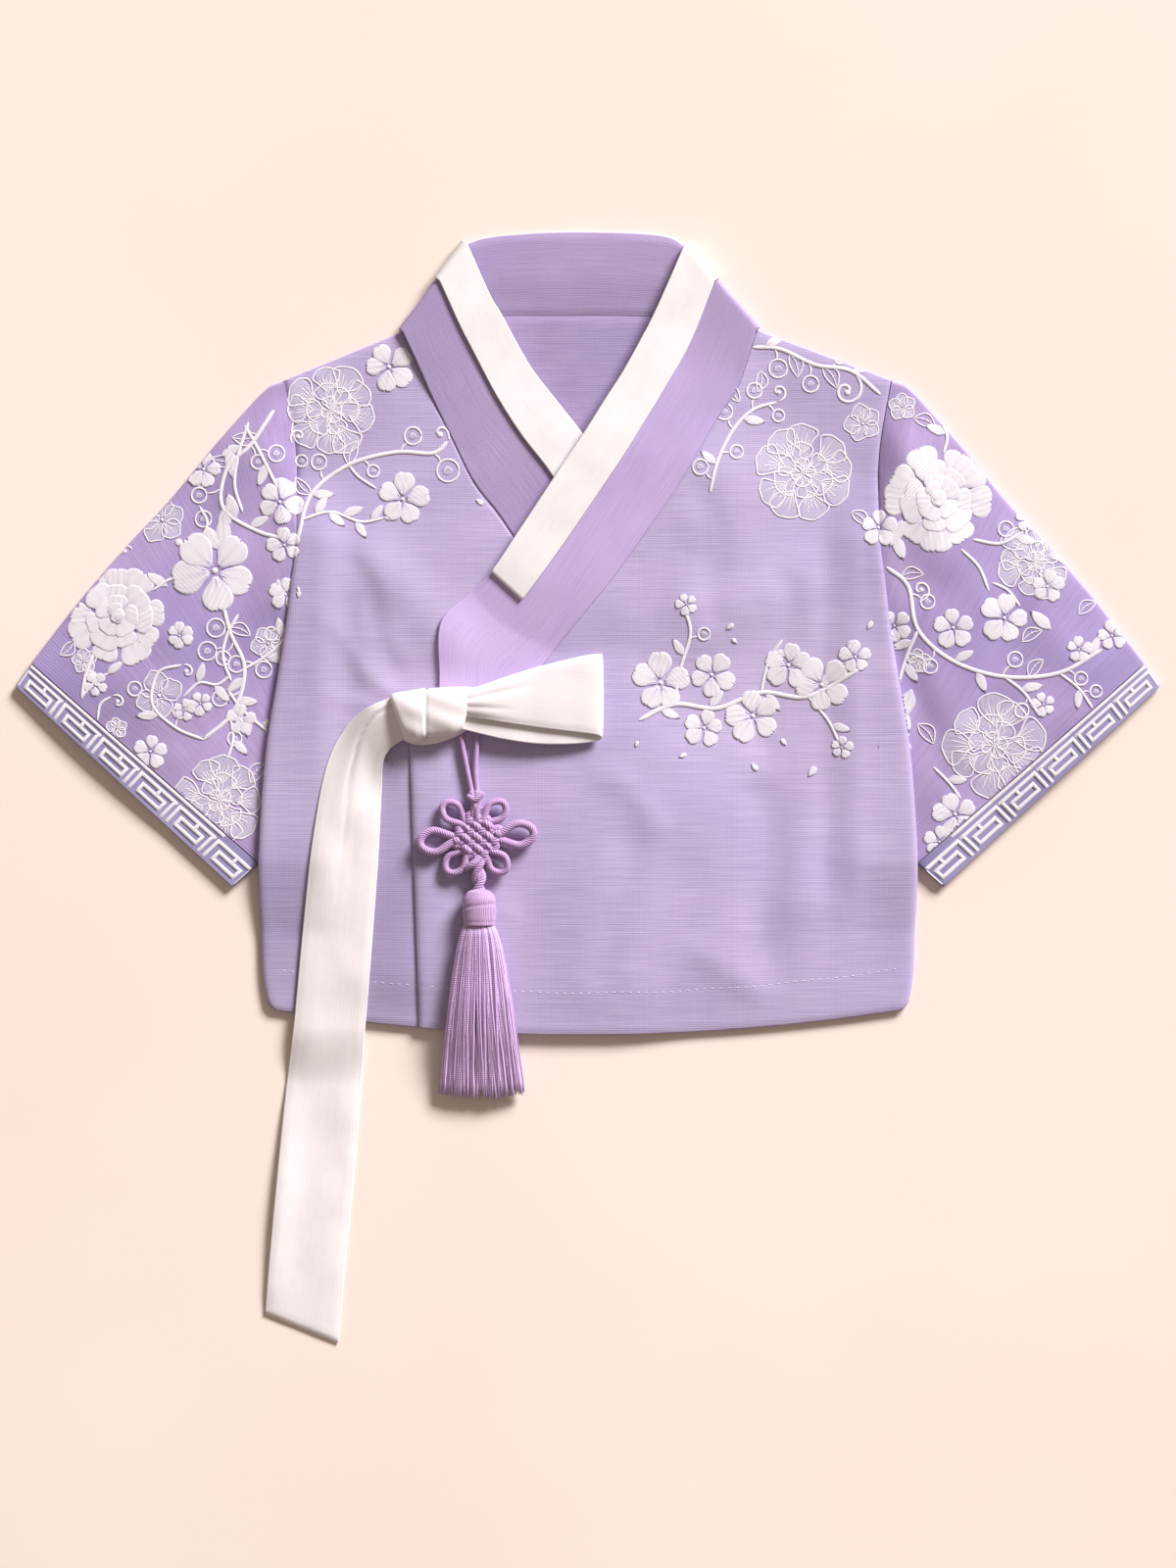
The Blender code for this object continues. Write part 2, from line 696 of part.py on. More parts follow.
def oval(x, up, half, low, thick):
    ring = []
    for k in range(ROUND_SIDES):
        angle = math.tau * k / ROUND_SIDES
        ring.append((
            x + half * math.cos(angle),
            up,
            low + thick / 2.0 * (1.0 + math.sin(angle)),
        ))
    return ring


def centre_on_origin():
    """Moves everything so that the origin is under the middle of the whole."""
    bpy.context.view_layer.update()
    corners = []
    for thing in bpy.data.objects:
        corners += [thing.matrix_world @ v.co for v in thing.to_mesh().vertices]
        thing.to_mesh_clear()
    middle = [(min(c[k] for c in corners) + max(c[k] for c in corners)) / 2.0 for k in (0, 1)]
    for thing in bpy.data.objects:
        thing.location.x -= middle[0]
        thing.location.y -= middle[1]


clear_scene()
linen = material("lavender linen", LAVENDER, 0.85)
collar_linen = material("lavender collar linen", DEEP_LAVENDER, 0.85)
cuff_weave = material("fret-patterned cuff band", CUFF_GREY, 0.8)
white_cotton = material("white cotton ribbon", OFF_WHITE, 0.8)
mauve_cord = material("mauve silk cord", MAUVE, 0.55)
build_body(linen)
build_collar(collar_linen, white_cotton)
build_sleeves(linen, cuff_weave)
build_tie(white_cotton)
build_pendant(mauve_cord)
centre_on_origin()
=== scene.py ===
"""A child's hanbok jacket (jeogori) laid out flat, front up: the finished surfaces.

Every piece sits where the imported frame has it. Pattern tables are in millimetres: x out
from the centre line to the wearer's left, y up from the hem's lowest point, z above the
surface; put() turns them into the frame's metres.
"""

import itertools
import math
import random

import bpy
import numpy as np
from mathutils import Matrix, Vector, noise
from mathutils.bvhtree import BVHTree


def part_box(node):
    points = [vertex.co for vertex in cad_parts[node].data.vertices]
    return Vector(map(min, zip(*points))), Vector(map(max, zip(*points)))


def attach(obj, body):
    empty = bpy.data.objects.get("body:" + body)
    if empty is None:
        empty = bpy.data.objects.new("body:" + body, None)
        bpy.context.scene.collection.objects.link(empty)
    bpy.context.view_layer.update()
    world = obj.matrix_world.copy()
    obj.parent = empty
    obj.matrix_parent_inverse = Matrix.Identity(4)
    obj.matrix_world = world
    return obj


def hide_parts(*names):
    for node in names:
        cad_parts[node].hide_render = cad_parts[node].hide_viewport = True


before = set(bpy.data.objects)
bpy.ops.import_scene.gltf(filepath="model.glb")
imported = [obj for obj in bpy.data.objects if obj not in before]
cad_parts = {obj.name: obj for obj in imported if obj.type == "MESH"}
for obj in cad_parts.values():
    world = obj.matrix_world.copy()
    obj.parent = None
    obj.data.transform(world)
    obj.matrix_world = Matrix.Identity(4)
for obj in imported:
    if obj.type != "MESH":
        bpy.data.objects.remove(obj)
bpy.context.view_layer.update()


# ---------------------------------------------------------------- camera, light, surface
# The jacket lies on a plain pale table top and is seen from straight above. A broad soft
# window of light comes low from beyond the wearer's left shoulder and rakes the cloth; a
# wide panel overhead and a pale room fill the shadows.

VIEW_TALL = 0.8            # metres of table that the picture's height takes in
CAMERA_HEIGHT = 2.6
SENSOR = 36.0
TABLE_WIDE = 4.0
TABLE_DROP = 0.0004        # a hair under the cloth, so that the two never share a plane

camera = bpy.data.objects.new("camera", bpy.data.cameras.new("camera"))
camera.data.sensor_width = SENSOR
camera.data.lens = SENSOR * CAMERA_HEIGHT / VIEW_TALL
camera.data.clip_start = 0.05
camera.data.clip_end = 20.0
camera.location = (0.0, 0.002, CAMERA_HEIGHT)
bpy.context.collection.objects.link(camera)
bpy.context.scene.camera = camera


def linear(code):
    """An sRGB hex colour as the linear RGBA that a shader takes."""
    parts = [int(code[k:k + 2], 16) / 255.0 for k in (1, 3, 5)]
    return tuple(
        c / 12.92 if c <= 0.04045 else ((c + 0.055) / 1.055) ** 2.4 for c in parts
    ) + (1.0,)


def node(tree, kind, settings=None, **inputs):
    """Adds a node; inputs are values or (node, socket) pairs, _0 names a socket by number."""
    made = tree.nodes.new(kind)
    for key, value in (settings or {}).items():
        setattr(made, key, value)
    for key, value in inputs.items():
        name = int(key[1:]) if key[0] == "_" and key[1:].isdigit() else key.replace("_", " ")
        if isinstance(value, tuple) and hasattr(value[0], "outputs"):
            tree.links.new(value[0].outputs[value[1]], made.inputs[name])
        else:
            made.inputs[name].default_value = value
    return made


def new_finish(name, **numbers):
    """A new material, its tree and its shader, with the shader's own numbers set."""
    made = bpy.data.materials.new(name)
    made.use_nodes = True
    shader = made.node_tree.nodes["Principled BSDF"]
    for key, value in numbers.items():
        shader.inputs[key.replace("_", " ")].default_value = value
    return made, made.node_tree, shader


def set_stops(ramp, *stops):
    """Gives a colour ramp its (place, colour) stops."""
    for element, (place, colour) in zip(ramp.color_ramp.elements, stops):
        element.position = place
        element.color = linear(colour)


def soft_light(name, place, size, power, colour):
    """Adds a rectangular panel of light, turned to face the jacket's middle."""
    lamp = bpy.data.lights.new(name, "AREA")
    lamp.shape = "RECTANGLE"
    lamp.size, lamp.size_y = size
    lamp.energy = power
    lamp.color = linear(colour)[:3]
    made = bpy.data.objects.new(name, lamp)
    made.location = place
    made.rotation_euler = (-Vector(place)).to_track_quat("-Z", "Y").to_euler()
    bpy.context.collection.objects.link(made)


soft_light("window light", place=(10.4, 14.0, 7.6), size=(8.4, 5.0), power=7500.0, colour="#FDFBFF")
soft_light("overhead panel", place=(-0.3, -0.1, 2.4), size=(2.4, 2.4), power=2.0, colour="#FFFFFF")

room = bpy.data.worlds.new("pale room")
bpy.context.scene.world = room
room.use_nodes = True
glow = room.node_tree.nodes["Background"]
glow.inputs["Color"].default_value = linear("#FFEADA")
glow.inputs["Strength"].default_value = 0.24
bpy.context.scene.view_settings.view_transform = "Standard"

bpy.ops.mesh.primitive_plane_add(size=TABLE_WIDE, location=(0.0, 0.0, -TABLE_DROP))
table = bpy.context.object
table.name = "table_top"

# Cream-painted plaster board: matt, with a barely uneven wash of colour
plaster, tree, shader = new_finish("cream plaster, matt", Roughness=0.9, Specular_IOR_Level=0.2)
at = node(tree, "ShaderNodeTexCoord")
wash = node(tree, "ShaderNodeTexNoise", Vector=(at, "Object"), Scale=2.6, Detail=3.0)
ramp = node(tree, "ShaderNodeValToRGB", Fac=(wash, "Fac"))
set_stops(ramp, (0.35, "#F8E8DA"), (0.7, "#FCEEE3"))
tree.links.new(ramp.outputs["Color"], shader.inputs["Base Color"])
table.data.materials.append(plaster)


# ---------------------------------------------------------------------------- body cloth
# Back and two fronts, cut from a lightweight linen with slubs in the weft, lined and
# sewn at the shoulders and sides. The fronts carry a few soft creases from folding and
# from the pull of the tie; the sides ride up over the sleeves' underarm edge.

MM = 0.001
HEM_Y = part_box("collar_band")[1][1] - 408.5 * MM     # the hem's lowest point, in the frame
CLOTH, GAP, SEAM = 1.2, 0.4, 0.35
BODY_SIDE = (
    # up, out
    (12.6, 160.2),
    (15.2, 162.7),
    (19.0, 163.7),
    (52.5, 166.4),
    (88.0, 167.5),
    (108.0, 166.6),
    (150.0, 163.0),
    (183.0, 157.6),
    (212.0, 153.1),
    (233.0, 150.7),
    (246.0, 148.9),
    (262.0, 148.1),
    (296.0, 148.5),
    (333.0, 154.5),
)
HEM_RADIUS = 1022.0
RIDE, RIDE_INSIDE, RIDE_FULL = 3.4, 118.0, 139.0
RIDE_FADE = ((52.5, 0.0), (88.0, 1.0), (252.0, 1.0), (285.0, 0.0))
CROSS_X, CROSS_Y, CROSS_FULL, CROSS_NONE, CROSS_LIFT = 5.0, 275.0, 48.0, 112.0, 3.5
AIR = 0.9
HEM_FLAT, SIDE_FLAT, SHOULDER_FLAT = 30.0, 45.0, 40.0     # how far in from each edge the loft is full
SEWN_SIDE, SEWN_SHOULDER, SHOULDER_FALL = 148.0, 345.0, 0.4
CREASES = (
    # from x, from y, to x, to y, half width, height
    (-140.0, 250.0, -70.0, 205.0, 15.0, 1.6),
    (-128.0, 118.0, -112.0, 200.0, 13.0, 1.3),
    (140.0, 246.0, 62.0, 214.0, 17.0, 1.8),
    (128.0, 205.0, 118.0, 70.0, 19.0, 1.6),
    (30.0, 150.0, 70.0, 60.0, 22.0, 1.3),
    (-88.0, 130.0, -92.0, 20.0, 20.0, 1.7),
    (-104.0, 176.0, -138.0, 214.0, 5.0, 0.9),
    (-100.0, 188.0, -118.0, 238.0, 6.0, -0.8),
    (-112.0, 168.0, -150.0, 178.0, 5.0, 0.7),
    (58.0, 275.0, 66.0, 215.0, 9.0, -0.9),
    (104.0, 226.0, 88.0, 150.0, 9.0, -0.8),
    (10.0, 132.0, 34.0, 108.0, 8.0, 0.8),
    (-40.0, 60.0, -66.0, 20.0, 8.0, 0.7),
    (-146.0, 70.0, -120.0, 30.0, 7.0, 0.6),
    (88.0, 120.0, 96.0, 30.0, 10.0, -0.7),
    (20.0, 96.0, 10.0, 30.0, 9.0, -0.7),
    (150.0, 110.0, 132.0, 62.0, 7.0, 0.8),
    (60.0, 40.0, 84.0, 18.0, 8.0, 0.6),
)
# Painted shade laid into the back's and fronts' colour, as a share of that colour; a depth below 0 is
# painted light
PAINTED_SHADE_CLOUDS = (
    # x, y, half width, half height, depth
    (-138.0, 42.0, 42.0, 50.0, 0.25),
    (-96.0, 60.0, 16.0, 70.0, 0.10),
    (-150.0, 150.0, 14.0, 60.0, 0.08),
    (-104.0, 184.0, 12.0, 7.0, 0.10),
    (-126.0, 205.0, 24.0, 26.0, 0.13),
    (60.0, 243.0, 26.0, 14.0, 0.08),
    (92.0, 222.0, 22.0, 10.0, 0.06),
    (10.0, 212.0, 10.0, 8.0, 0.06),
    (-62.0, 184.0, 16.0, 8.0, 0.08),
    (-12.0, 104.0, 30.0, 22.0, 0.06),
    (-10.0, 46.0, 38.0, 34.0, 0.09),
    (-78.0, 120.0, 10.0, 40.0, 0.05),
    (158.0, 90.0, 12.0, 60.0, 0.10),
    (146.0, 240.0, 12.0, 40.0, 0.10),
    (-142.0, 262.0, 12.0, 40.0, 0.06),
    (80.0, 12.0, 90.0, 10.0, 0.05),
    (70.0, 150.0, 80.0, 90.0, -0.07),
    (-132.0, 318.0, 34.0, 30.0, 0.10),
    (118.0, 318.0, 42.0, 30.0, 0.12),
    (146.0, 286.0, 16.0, 34.0, 0.10),
    (25.0, 222.0, 24.0, 14.0, -0.05),
)


def blend(low, high, value):
    """0 at low, 1 at high, smooth between; low may be the greater."""
    share = np.clip((value - low) / (high - low), 0.0, 1.0)
    return share * share * (3.0 - 2.0 * share)


def eased(knots, rows, at):
    """A smooth curve through a table's rows, by cubics with slopes from the neighbours."""
    knots, rows = np.asarray(knots, float), np.asarray(rows, float)
    rows = rows.reshape(len(knots), -1)
    steps = np.diff(knots)[:, None]
    rises = np.diff(rows, axis=0) / steps
    slopes = np.vstack([rises[:1], rises[:1], rises[1:]])
    slopes[1:-1] = (rises[:-1] * steps[1:] + rises[1:] * steps[:-1]) / (steps[:-1] + steps[1:])
    at = np.atleast_1d(np.asarray(at, float))
    k = np.clip(np.searchsorted(knots, at) - 1, 0, len(knots) - 2)
    t = np.clip((at - knots[k]) / (knots[k + 1] - knots[k]), 0.0, 1.0)[:, None]
    return (
        rows[k] * (1 + 2 * t) * (1 - t) ** 2 + rows[k + 1] * t * t * (3 - 2 * t)
        + steps[k] * (slopes[k] * t * (1 - t) ** 2 - slopes[k + 1] * t * t * (1 - t))
    )


def unevenness(x, y, size, seed):
    """Soft noise from -1 to 1 at each place, its lumps about size across."""
    flat = [
        noise.noise(Vector((a / size, b / size, seed)))
        for a, b in zip(np.ravel(x), np.ravel(y))
    ]
    return np.reshape(flat, np.shape(x))


def ride(x, y):
    """How high the sides lie on the sleeves' underarm edge."""
    fade = np.interp(y, *zip(*RIDE_FADE))
    return RIDE * blend(RIDE_INSIDE, RIDE_FULL, np.abs(x)) * fade


def crease(x, y, start, end, half, tall, sway=0.0):
    """A soft ridge from start to end (a trough if tall is below 0), which may sway a little."""
    (ax, ay), (bx, by) = start, end
    length = math.hypot(bx - ax, by - ay)
    run = ((x - ax) * (bx - ax) + (y - ay) * (by - ay)) / length
    side = ((x - ax) * (by - ay) - (y - ay) * (bx - ax)) / length
    side = side + sway * half * np.sin(run / half * 0.7)
    past = np.maximum(np.maximum(-run, run - length), 0.0)
    return tall * np.exp(-((side / half) ** 2) - (past / half) ** 2)


def air(x, y):
    """Loft under the fronts: a low crown, the creases, and the cloth's own unevenness."""
    inside = blend(0.0, HEM_FLAT, y - x * x / (2.0 * HEM_RADIUS))
    inside = inside * blend(0.0, SIDE_FLAT, SEWN_SIDE - np.abs(x))
    inside = inside * blend(0.0, SHOULDER_FLAT, SEWN_SHOULDER - SHOULDER_FALL * np.abs(x) - y)
    height = np.full(np.shape(x), AIR) + 0.5 * unevenness(x, y, 46.0, 3.1)
    for ax, ay, bx, by, half, tall in CREASES:
        height = height + crease(x, y, (ax, ay), (bx, by), half, tall, sway=0.35)
    return np.maximum(height * inside, 0.0)


def inner_under(x, y):
    """The underside of the front that lies below."""
    return ride(x, y) + CLOTH + GAP + air(x, y)


def outer_under(x, y):
    """The underside of the front that laps over it."""
    step = (CLOTH + GAP) * blend(60.0, 15.0, x)
    crossing = blend(CROSS_NONE, CROSS_FULL, np.hypot(x - CROSS_X, y - CROSS_Y))
    return inner_under(x, y) + np.maximum(step, CROSS_LIFT * crossing)


def put(points):
    """Pattern millimetres to the frame's metres."""
    return np.asarray(points, float) * MM + np.array((0.0, HEM_Y, 0.0))


def build(name, points, faces, uvs=None, marks=None):
    """A smooth mesh object. uvs and marks, if given, have one row for each point."""
    mesh = bpy.data.meshes.new(name)
    mesh.from_pydata(put(points).tolist(), [], [tuple(int(k) for k in f) for f in faces])
    loops = np.empty(len(mesh.loops), int)
    mesh.loops.foreach_get("vertex_index", loops)
    if uvs is not None:
        layer = mesh.uv_layers.new(name="UVMap")
        layer.data.foreach_set("uv", np.asarray(uvs, float)[loops].ravel())
    if marks is not None:
        layer = mesh.attributes.new("mark", "FLOAT", "POINT")
        layer.data.foreach_set("value", np.asarray(marks, float))
    mesh.shade_smooth()
    made = bpy.data.objects.new(name, mesh)
    bpy.context.collection.objects.link(made)
    return made


def quads(rows, columns, start=0, flip=False):
    """The faces of a grid of points, in rows."""
    a = (np.arange(rows - 1)[:, None] * columns + np.arange(columns - 1)[None, :]).ravel() + start
    order = (a, a + columns, a + columns + 1, a + 1) if flip else (
        a, a + 1, a + columns + 1, a + columns)
    return np.stack(order, axis=1)


def normals(grid):
    """Unit normals of a grid of points, across by along."""
    u = np.gradient(grid, axis=1)
    v = np.gradient(grid, axis=0)
    n = np.cross(u, v)
    return n / np.maximum(np.linalg.norm(n, axis=2, keepdims=True), 1e-9)


def from_edge(grid):
    """Each point's distance from the nearest edge of its grid, along its rows and columns."""
    def ends(axis):
        steps = np.linalg.norm(np.diff(grid, axis=axis), axis=2)
        pad = [(1, 0), (0, 0)] if axis == 0 else [(0, 0), (1, 0)]
        run = np.pad(np.cumsum(steps, axis=axis), pad)
        total = run[-1:, :] if axis == 0 else run[:, -1:]
        return np.minimum(run, total - run)
    return np.minimum(ends(0), ends(1))


def wall(name, grid, thickness, uv, level=False, press=0.0, marks=None):
    """Cloth about a grid of middle points, with a rounded edge and a little pressed thin there."""
    rows, columns = grid.shape[:2]
    way = np.zeros_like(grid) + (0.0, 0.0, 1.0) if level else normals(grid)
    thin = press * (1.0 - blend(0.0, 3.0, from_edge(grid)))
    top = grid + way * (thickness / 2.0 - thin)[..., None]
    low = grid - way * thickness / 2.0
    rim = np.concatenate([
        np.arange(columns), columns - 1 + columns * np.arange(1, rows),
        (rows - 1) * columns + np.arange(columns - 2, -1, -1),
        columns * np.arange(rows - 2, 0, -1),
    ])
    flat = grid.reshape(-1, 3)
    inward = np.concatenate([
        flat[columns:2 * columns], grid[1:, -2], grid[-2, -2::-1], grid[-2:0:-1, 1]])
    out = flat[rim] - inward
    out = out / np.maximum(np.linalg.norm(out, axis=1, keepdims=True), 1e-9)
    middle = flat[rim] + out * thickness * 0.3 - way.reshape(-1, 3)[rim] * thin.reshape(-1, 1)[rim] / 2
    count = rows * columns
    points = np.vstack([top.reshape(-1, 3), low.reshape(-1, 3), middle])
    nxt = np.roll(rim, -1)
    ring = 2 * count + np.arange(len(rim))
    ring_next = np.roll(ring, -1)
    faces = np.vstack([
        quads(rows, columns),
        quads(rows, columns, count, flip=True),
        np.stack([rim, ring, ring_next, nxt], axis=1),
        np.stack([ring, rim + count, nxt + count, ring_next], axis=1),
    ])
    uvs = np.vstack([uv.reshape(-1, 2), uv.reshape(-1, 2), uv.reshape(-1, 2)[rim]])
    if marks is not None:
        marks = np.concatenate([marks.ravel(), marks.ravel(), marks.ravel()[rim]])
    return build(name, points, faces, uvs * MM, marks)


def close_set(count, tight=0.0016):
    """Shares from 0 to 1, even but for two close lines at each end."""
    return np.concatenate([
        [0.0, tight, 3.0 * tight], np.linspace(7.0 * tight, 1.0 - 7.0 * tight, count),
        [1.0 - 3.0 * tight, 1.0 - tight, 1.0]])


SIDE_UP, SIDE_OUT = zip(*BODY_SIDE)


def side_at(share):
    """The body's side, by share of its height."""
    return eased(SIDE_UP, SIDE_OUT, SIDE_UP[0] + share * (SIDE_UP[-1] - SIDE_UP[0]))[:, 0]


def straight(start, end, count):
    """count points from start up to, but not with, end."""
    return np.linspace(start, end, count, endpoint=False)


def panel(name, top, left_edge, right_edge, under, rows=150):
    """A body panel: columns drop from its top edge's points to the hem."""
    share = close_set(rows)
    across = (top[:, 0] - top[0, 0]) / (top[-1, 0] - top[0, 0])
    left, right = left_edge(share), right_edge(share)
    x = left[:, None] + across[None, :] * (right - left)[:, None]
    hem = x[0] ** 2 / (2.0 * HEM_RADIUS)
    y = hem[None, :] + share[:, None] * (top[:, 1] - hem)[None, :]
    grid = np.stack([x, y, under(x, y) + CLOTH / 2.0], axis=2)
    # painted shade and painted light from the clouds above, taken off the cloth's colour
    dye_and_painted_shade = 0.0 * x
    for cx, cy, wide, tall, depth in PAINTED_SHADE_CLOUDS:
        dye_and_painted_shade = dye_and_painted_shade + depth * np.exp(-((x - cx) / wide) ** 2 - ((y - cy) / tall) ** 2)
    return wall(name, grid, CLOTH, np.stack([x, y], axis=2), level=True, press=0.45, marks=dye_and_painted_shade)


def darker_where_marked(tree, colour):
    """The output of a colour that each point's mark takes away from: deeper dye in places, painted shade in
    others, and painted light where a mark is below 0.
    """
    mark = node(tree, "ShaderNodeAttribute", {"attribute_name": "mark"})
    left = node(tree, "ShaderNodeMath", {"operation": "SUBTRACT"}, _0=1.0, _1=(mark, "Fac"))
    made = node(tree, "ShaderNodeMix", {"data_type": "RGBA", "blend_type": "MULTIPLY"}, Factor=1.0,
                _6=colour, _7=(left, 0))
    return made.outputs[2]


# Linen, plain woven from slubby yarn and pressed: matt, with fine streaks along the
# weft, a just-visible weave, and soft clouds of bluer and pinker dye
def linen_finish(name, dark, pale, cool, cloud=0.5, clouded=0.35):
    made, tree, shader = new_finish(name, Roughness=0.88, Specular_IOR_Level=0.22, Sheen_Weight=0.12,
                                    Sheen_Roughness=0.5)
    uv = node(tree, "ShaderNodeTexCoord")
    # slubs are about 0.5 mm thick and run 20 to 60 mm; threads are drawn 0.9 mm apart,
    # twice their real spacing, so that they show
    slub_at = node(tree, "ShaderNodeMapping", Vector=(uv, "UV"), Scale=(30.0, 1300.0, 1.0))
    slub = node(tree, "ShaderNodeTexNoise", Vector=(slub_at, 0), Scale=1.0, Detail=3.0, Roughness=0.65)
    cross_at = node(tree, "ShaderNodeMapping", Vector=(uv, "UV"), Scale=(1040.0, 40.0, 1.0))
    cross = node(tree, "ShaderNodeTexNoise", Vector=(cross_at, 0), Scale=1.0, Detail=2.0)
    clouds = node(tree, "ShaderNodeTexNoise", Vector=(uv, "UV"), Scale=15.0, Detail=3.0, Roughness=0.55)
    tone = node(tree, "ShaderNodeMath", {"operation": "MULTIPLY"}, _0=(slub, "Fac"), _1=0.62)
    for pattern, weight in ((cross, 0.09), (clouds, clouded)):
        tone = node(tree, "ShaderNodeMath", {"operation": "MULTIPLY_ADD"}, _0=(pattern, "Fac"),
                    _1=weight, _2=(tone, 0))
    ramp = node(tree, "ShaderNodeValToRGB", Fac=(tone, 0))
    set_stops(ramp, (0.24 + 0.22 * clouded, dark), (0.53 + 0.62 * clouded, pale))
    hue = node(tree, "ShaderNodeTexNoise", Vector=(uv, "UV"), Scale=9.0, Detail=2.0)
    hue_share = node(tree, "ShaderNodeMapRange", Value=(hue, "Fac"), From_Min=0.45,
                     From_Max=0.75, To_Min=0.0, To_Max=cloud)
    tint = node(tree, "ShaderNodeMix", {"data_type": "RGBA"}, Factor=(hue_share, 0),
                _6=(ramp, "Color"), _7=linear(cool))
    tree.links.new(darker_where_marked(tree, (tint, 2)), shader.inputs["Base Color"])
    weft, warp = (
        node(tree, "ShaderNodeTexWave", {"bands_direction": way}, Vector=(uv, "UV"), Scale=350.0,
             Distortion=0.6, Detail=1.0)
        for way in "YX"
    )
    weave = node(tree, "ShaderNodeMath", {"operation": "MAXIMUM"}, _0=(weft, "Fac"), _1=(warp, "Fac"))
    height = node(tree, "ShaderNodeMath", {"operation": "MULTIPLY_ADD"}, _0=(slub, "Fac"),
                  _1=1.6, _2=(weave, 0))
    bump = node(tree, "ShaderNodeBump", Height=(height, 0), Strength=0.22, Distance=0.0004)
    tree.links.new(bump.outputs["Normal"], shader.inputs["Normal"])
    return made


lavender_linen = linen_finish("lavender slub linen, pressed", "#AC9BC4", "#D6C6E6", "#B9ACDD")

# Collar seams, which the fronts and the back are cut to; the band itself comes later
COLLAR_RIGHT_HAND = (      # wearer's right, which goes under
    # free x, free y, sewn x, sewn y
    (-61.8, 402.5, -94.2, 358.0),
    (-50.2, 376.5, -86.0, 340.5),
    (-44.0, 366.0, -79.5, 325.5),
    (-30.0, 340.8, -69.0, 304.0),
    (-16.5, 323.0, -58.0, 282.0),
    (-2.5, 305.0, -45.0, 265.0),
    (12.5, 282.5, -30.0, 242.5),
    (27.5, 260.0, -15.0, 220.0),
)
COLLAR_LEFT_HAND = (       # wearer's left, which lies on top
    # free x, free y, sewn x, sewn y
    (49.0, 401.5, 85.5, 359.0),
    (34.0, 367.5, 76.0, 331.0),
    (20.0, 340.8, 64.5, 312.5),
    (8.5, 322.5, 54.5, 295.0),
    (-2.5, 305.0, 43.5, 277.0),
    (-18.0, 282.0, 28.5, 255.0),
    (-33.5, 258.5, 11.5, 231.5),
    (-49.0, 235.5, -12.5, 202.0),
    (-62.0, 222.2, -23.5, 188.0),
    (-75.0, 209.0, -35.0, 174.0),
    (-75.5, 182.5, -46.0, 161.0),
    (-75.5, 158.5, -50.0, 156.5),
)
COLLAR_BACK = (            # from the wearer's right to the left
    # free x, free y, sewn x, sewn y
    (-61.8, 402.5, -94.2, 358.0),
    (-52.0, 405.5, -72.0, 363.0),
    (-36.0, 407.3, -45.0, 366.2),
    (-10.0, 408.5, -15.0, 366.5),
    (20.0, 408.0, 15.0, 366.5),
    (35.0, 407.0, 38.0, 365.8),
    (43.5, 405.0, 62.0, 363.0),
    (49.0, 401.5, 85.5, 359.0),
)
SHOULDER_TIP = (154.5, 333.0)
INNER_EDGE, INNER_TOP = 15.0, 178.0
OUTER_EDGE, OUTER_TOP = (-85.7, -91.0), 157.0


def seam_line(sections, count, corner=None):
    """The edge of a panel along a collar seam, a seam's gap away from the band."""
    rows = np.asarray(sections, float)
    knots = np.arange(len(rows), dtype=float)
    at = np.linspace(0.0, len(rows) - 1.0, count)
    if corner is not None:
        at = np.sort(np.append(at, float(corner)))
    rows = eased(knots, rows, at)
    out = rows[:, 2:] - rows[:, :2]
    return rows[:, 2:] + SEAM * out / np.linalg.norm(out, axis=1, keepdims=True)


def mirrored(point):
    """The same place on the jacket's other side."""
    return (-point[0], point[1])


back_seam = seam_line(COLLAR_BACK, 60)
back_top = np.vstack([
    straight(mirrored(SHOULDER_TIP), back_seam[0], 26), back_seam,
    straight(SHOULDER_TIP, back_seam[-1], 26)[::-1],
])
back = panel("back", back_top, lambda s: -side_at(s), side_at, ride)

inner_seam = seam_line(COLLAR_RIGHT_HAND, 46)
inner_top = np.vstack([
    straight(mirrored(SHOULDER_TIP), inner_seam[0], 28), inner_seam,
    np.linspace(inner_seam[-1], (INNER_EDGE, INNER_TOP), 14)[1:],
])
front_under = panel("front_under", inner_top, lambda s: -side_at(s),
                    lambda s: np.full(len(s), INNER_EDGE), inner_under)

outer_seam = seam_line(COLLAR_LEFT_HAND, 76)[::-1]
outer_top = np.vstack([
    straight((OUTER_EDGE[1], OUTER_TOP), outer_seam[0], 18), outer_seam,
    straight(SHOULDER_TIP, outer_seam[-1], 30)[::-1],
])
front_over = panel("front_over", outer_top,
                   lambda s: OUTER_EDGE[0] + s * (OUTER_EDGE[1] - OUTER_EDGE[0]),
                   side_at, outer_under)

# The back shows its inner face in the neck: the same linen, a little deeper as painted shade for the hollow
# of the neck
shaded_back_linen = linen_finish("lavender slub linen, painted shade of the neck", "#9987B1", "#C0ADD2", "#A295C8")
for piece, solid, finish in (
    (back, "back_panel", shaded_back_linen), (front_under, "front_inner", lavender_linen),
    (front_over, "front_outer", lavender_linen),
):
    piece.data.materials.append(finish)
    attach(piece, "root")
    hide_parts(solid)


# --------------------------------------------------------------- collar and over-collar
# The collar (git) is a band of the same linen, doubled and stiffened, that runs from its
# hidden end on the wearer's right, round the neck, to a square end on the outer front.
# The over-collar (dongjeong) is a starched strip of white cotton, tacked along its fold.

BAND, WHITE = 1.4, 1.0
BACK_LIFT, NECK_ROLL = 2.1, 2.6
NECK_MIDDLE = -4.0
ROLL_OUT, ROLL_UP = 0.8, 0.6
SECTION_ROWS, NECK_ROWS, TURN_ROWS = 13, 60, 9


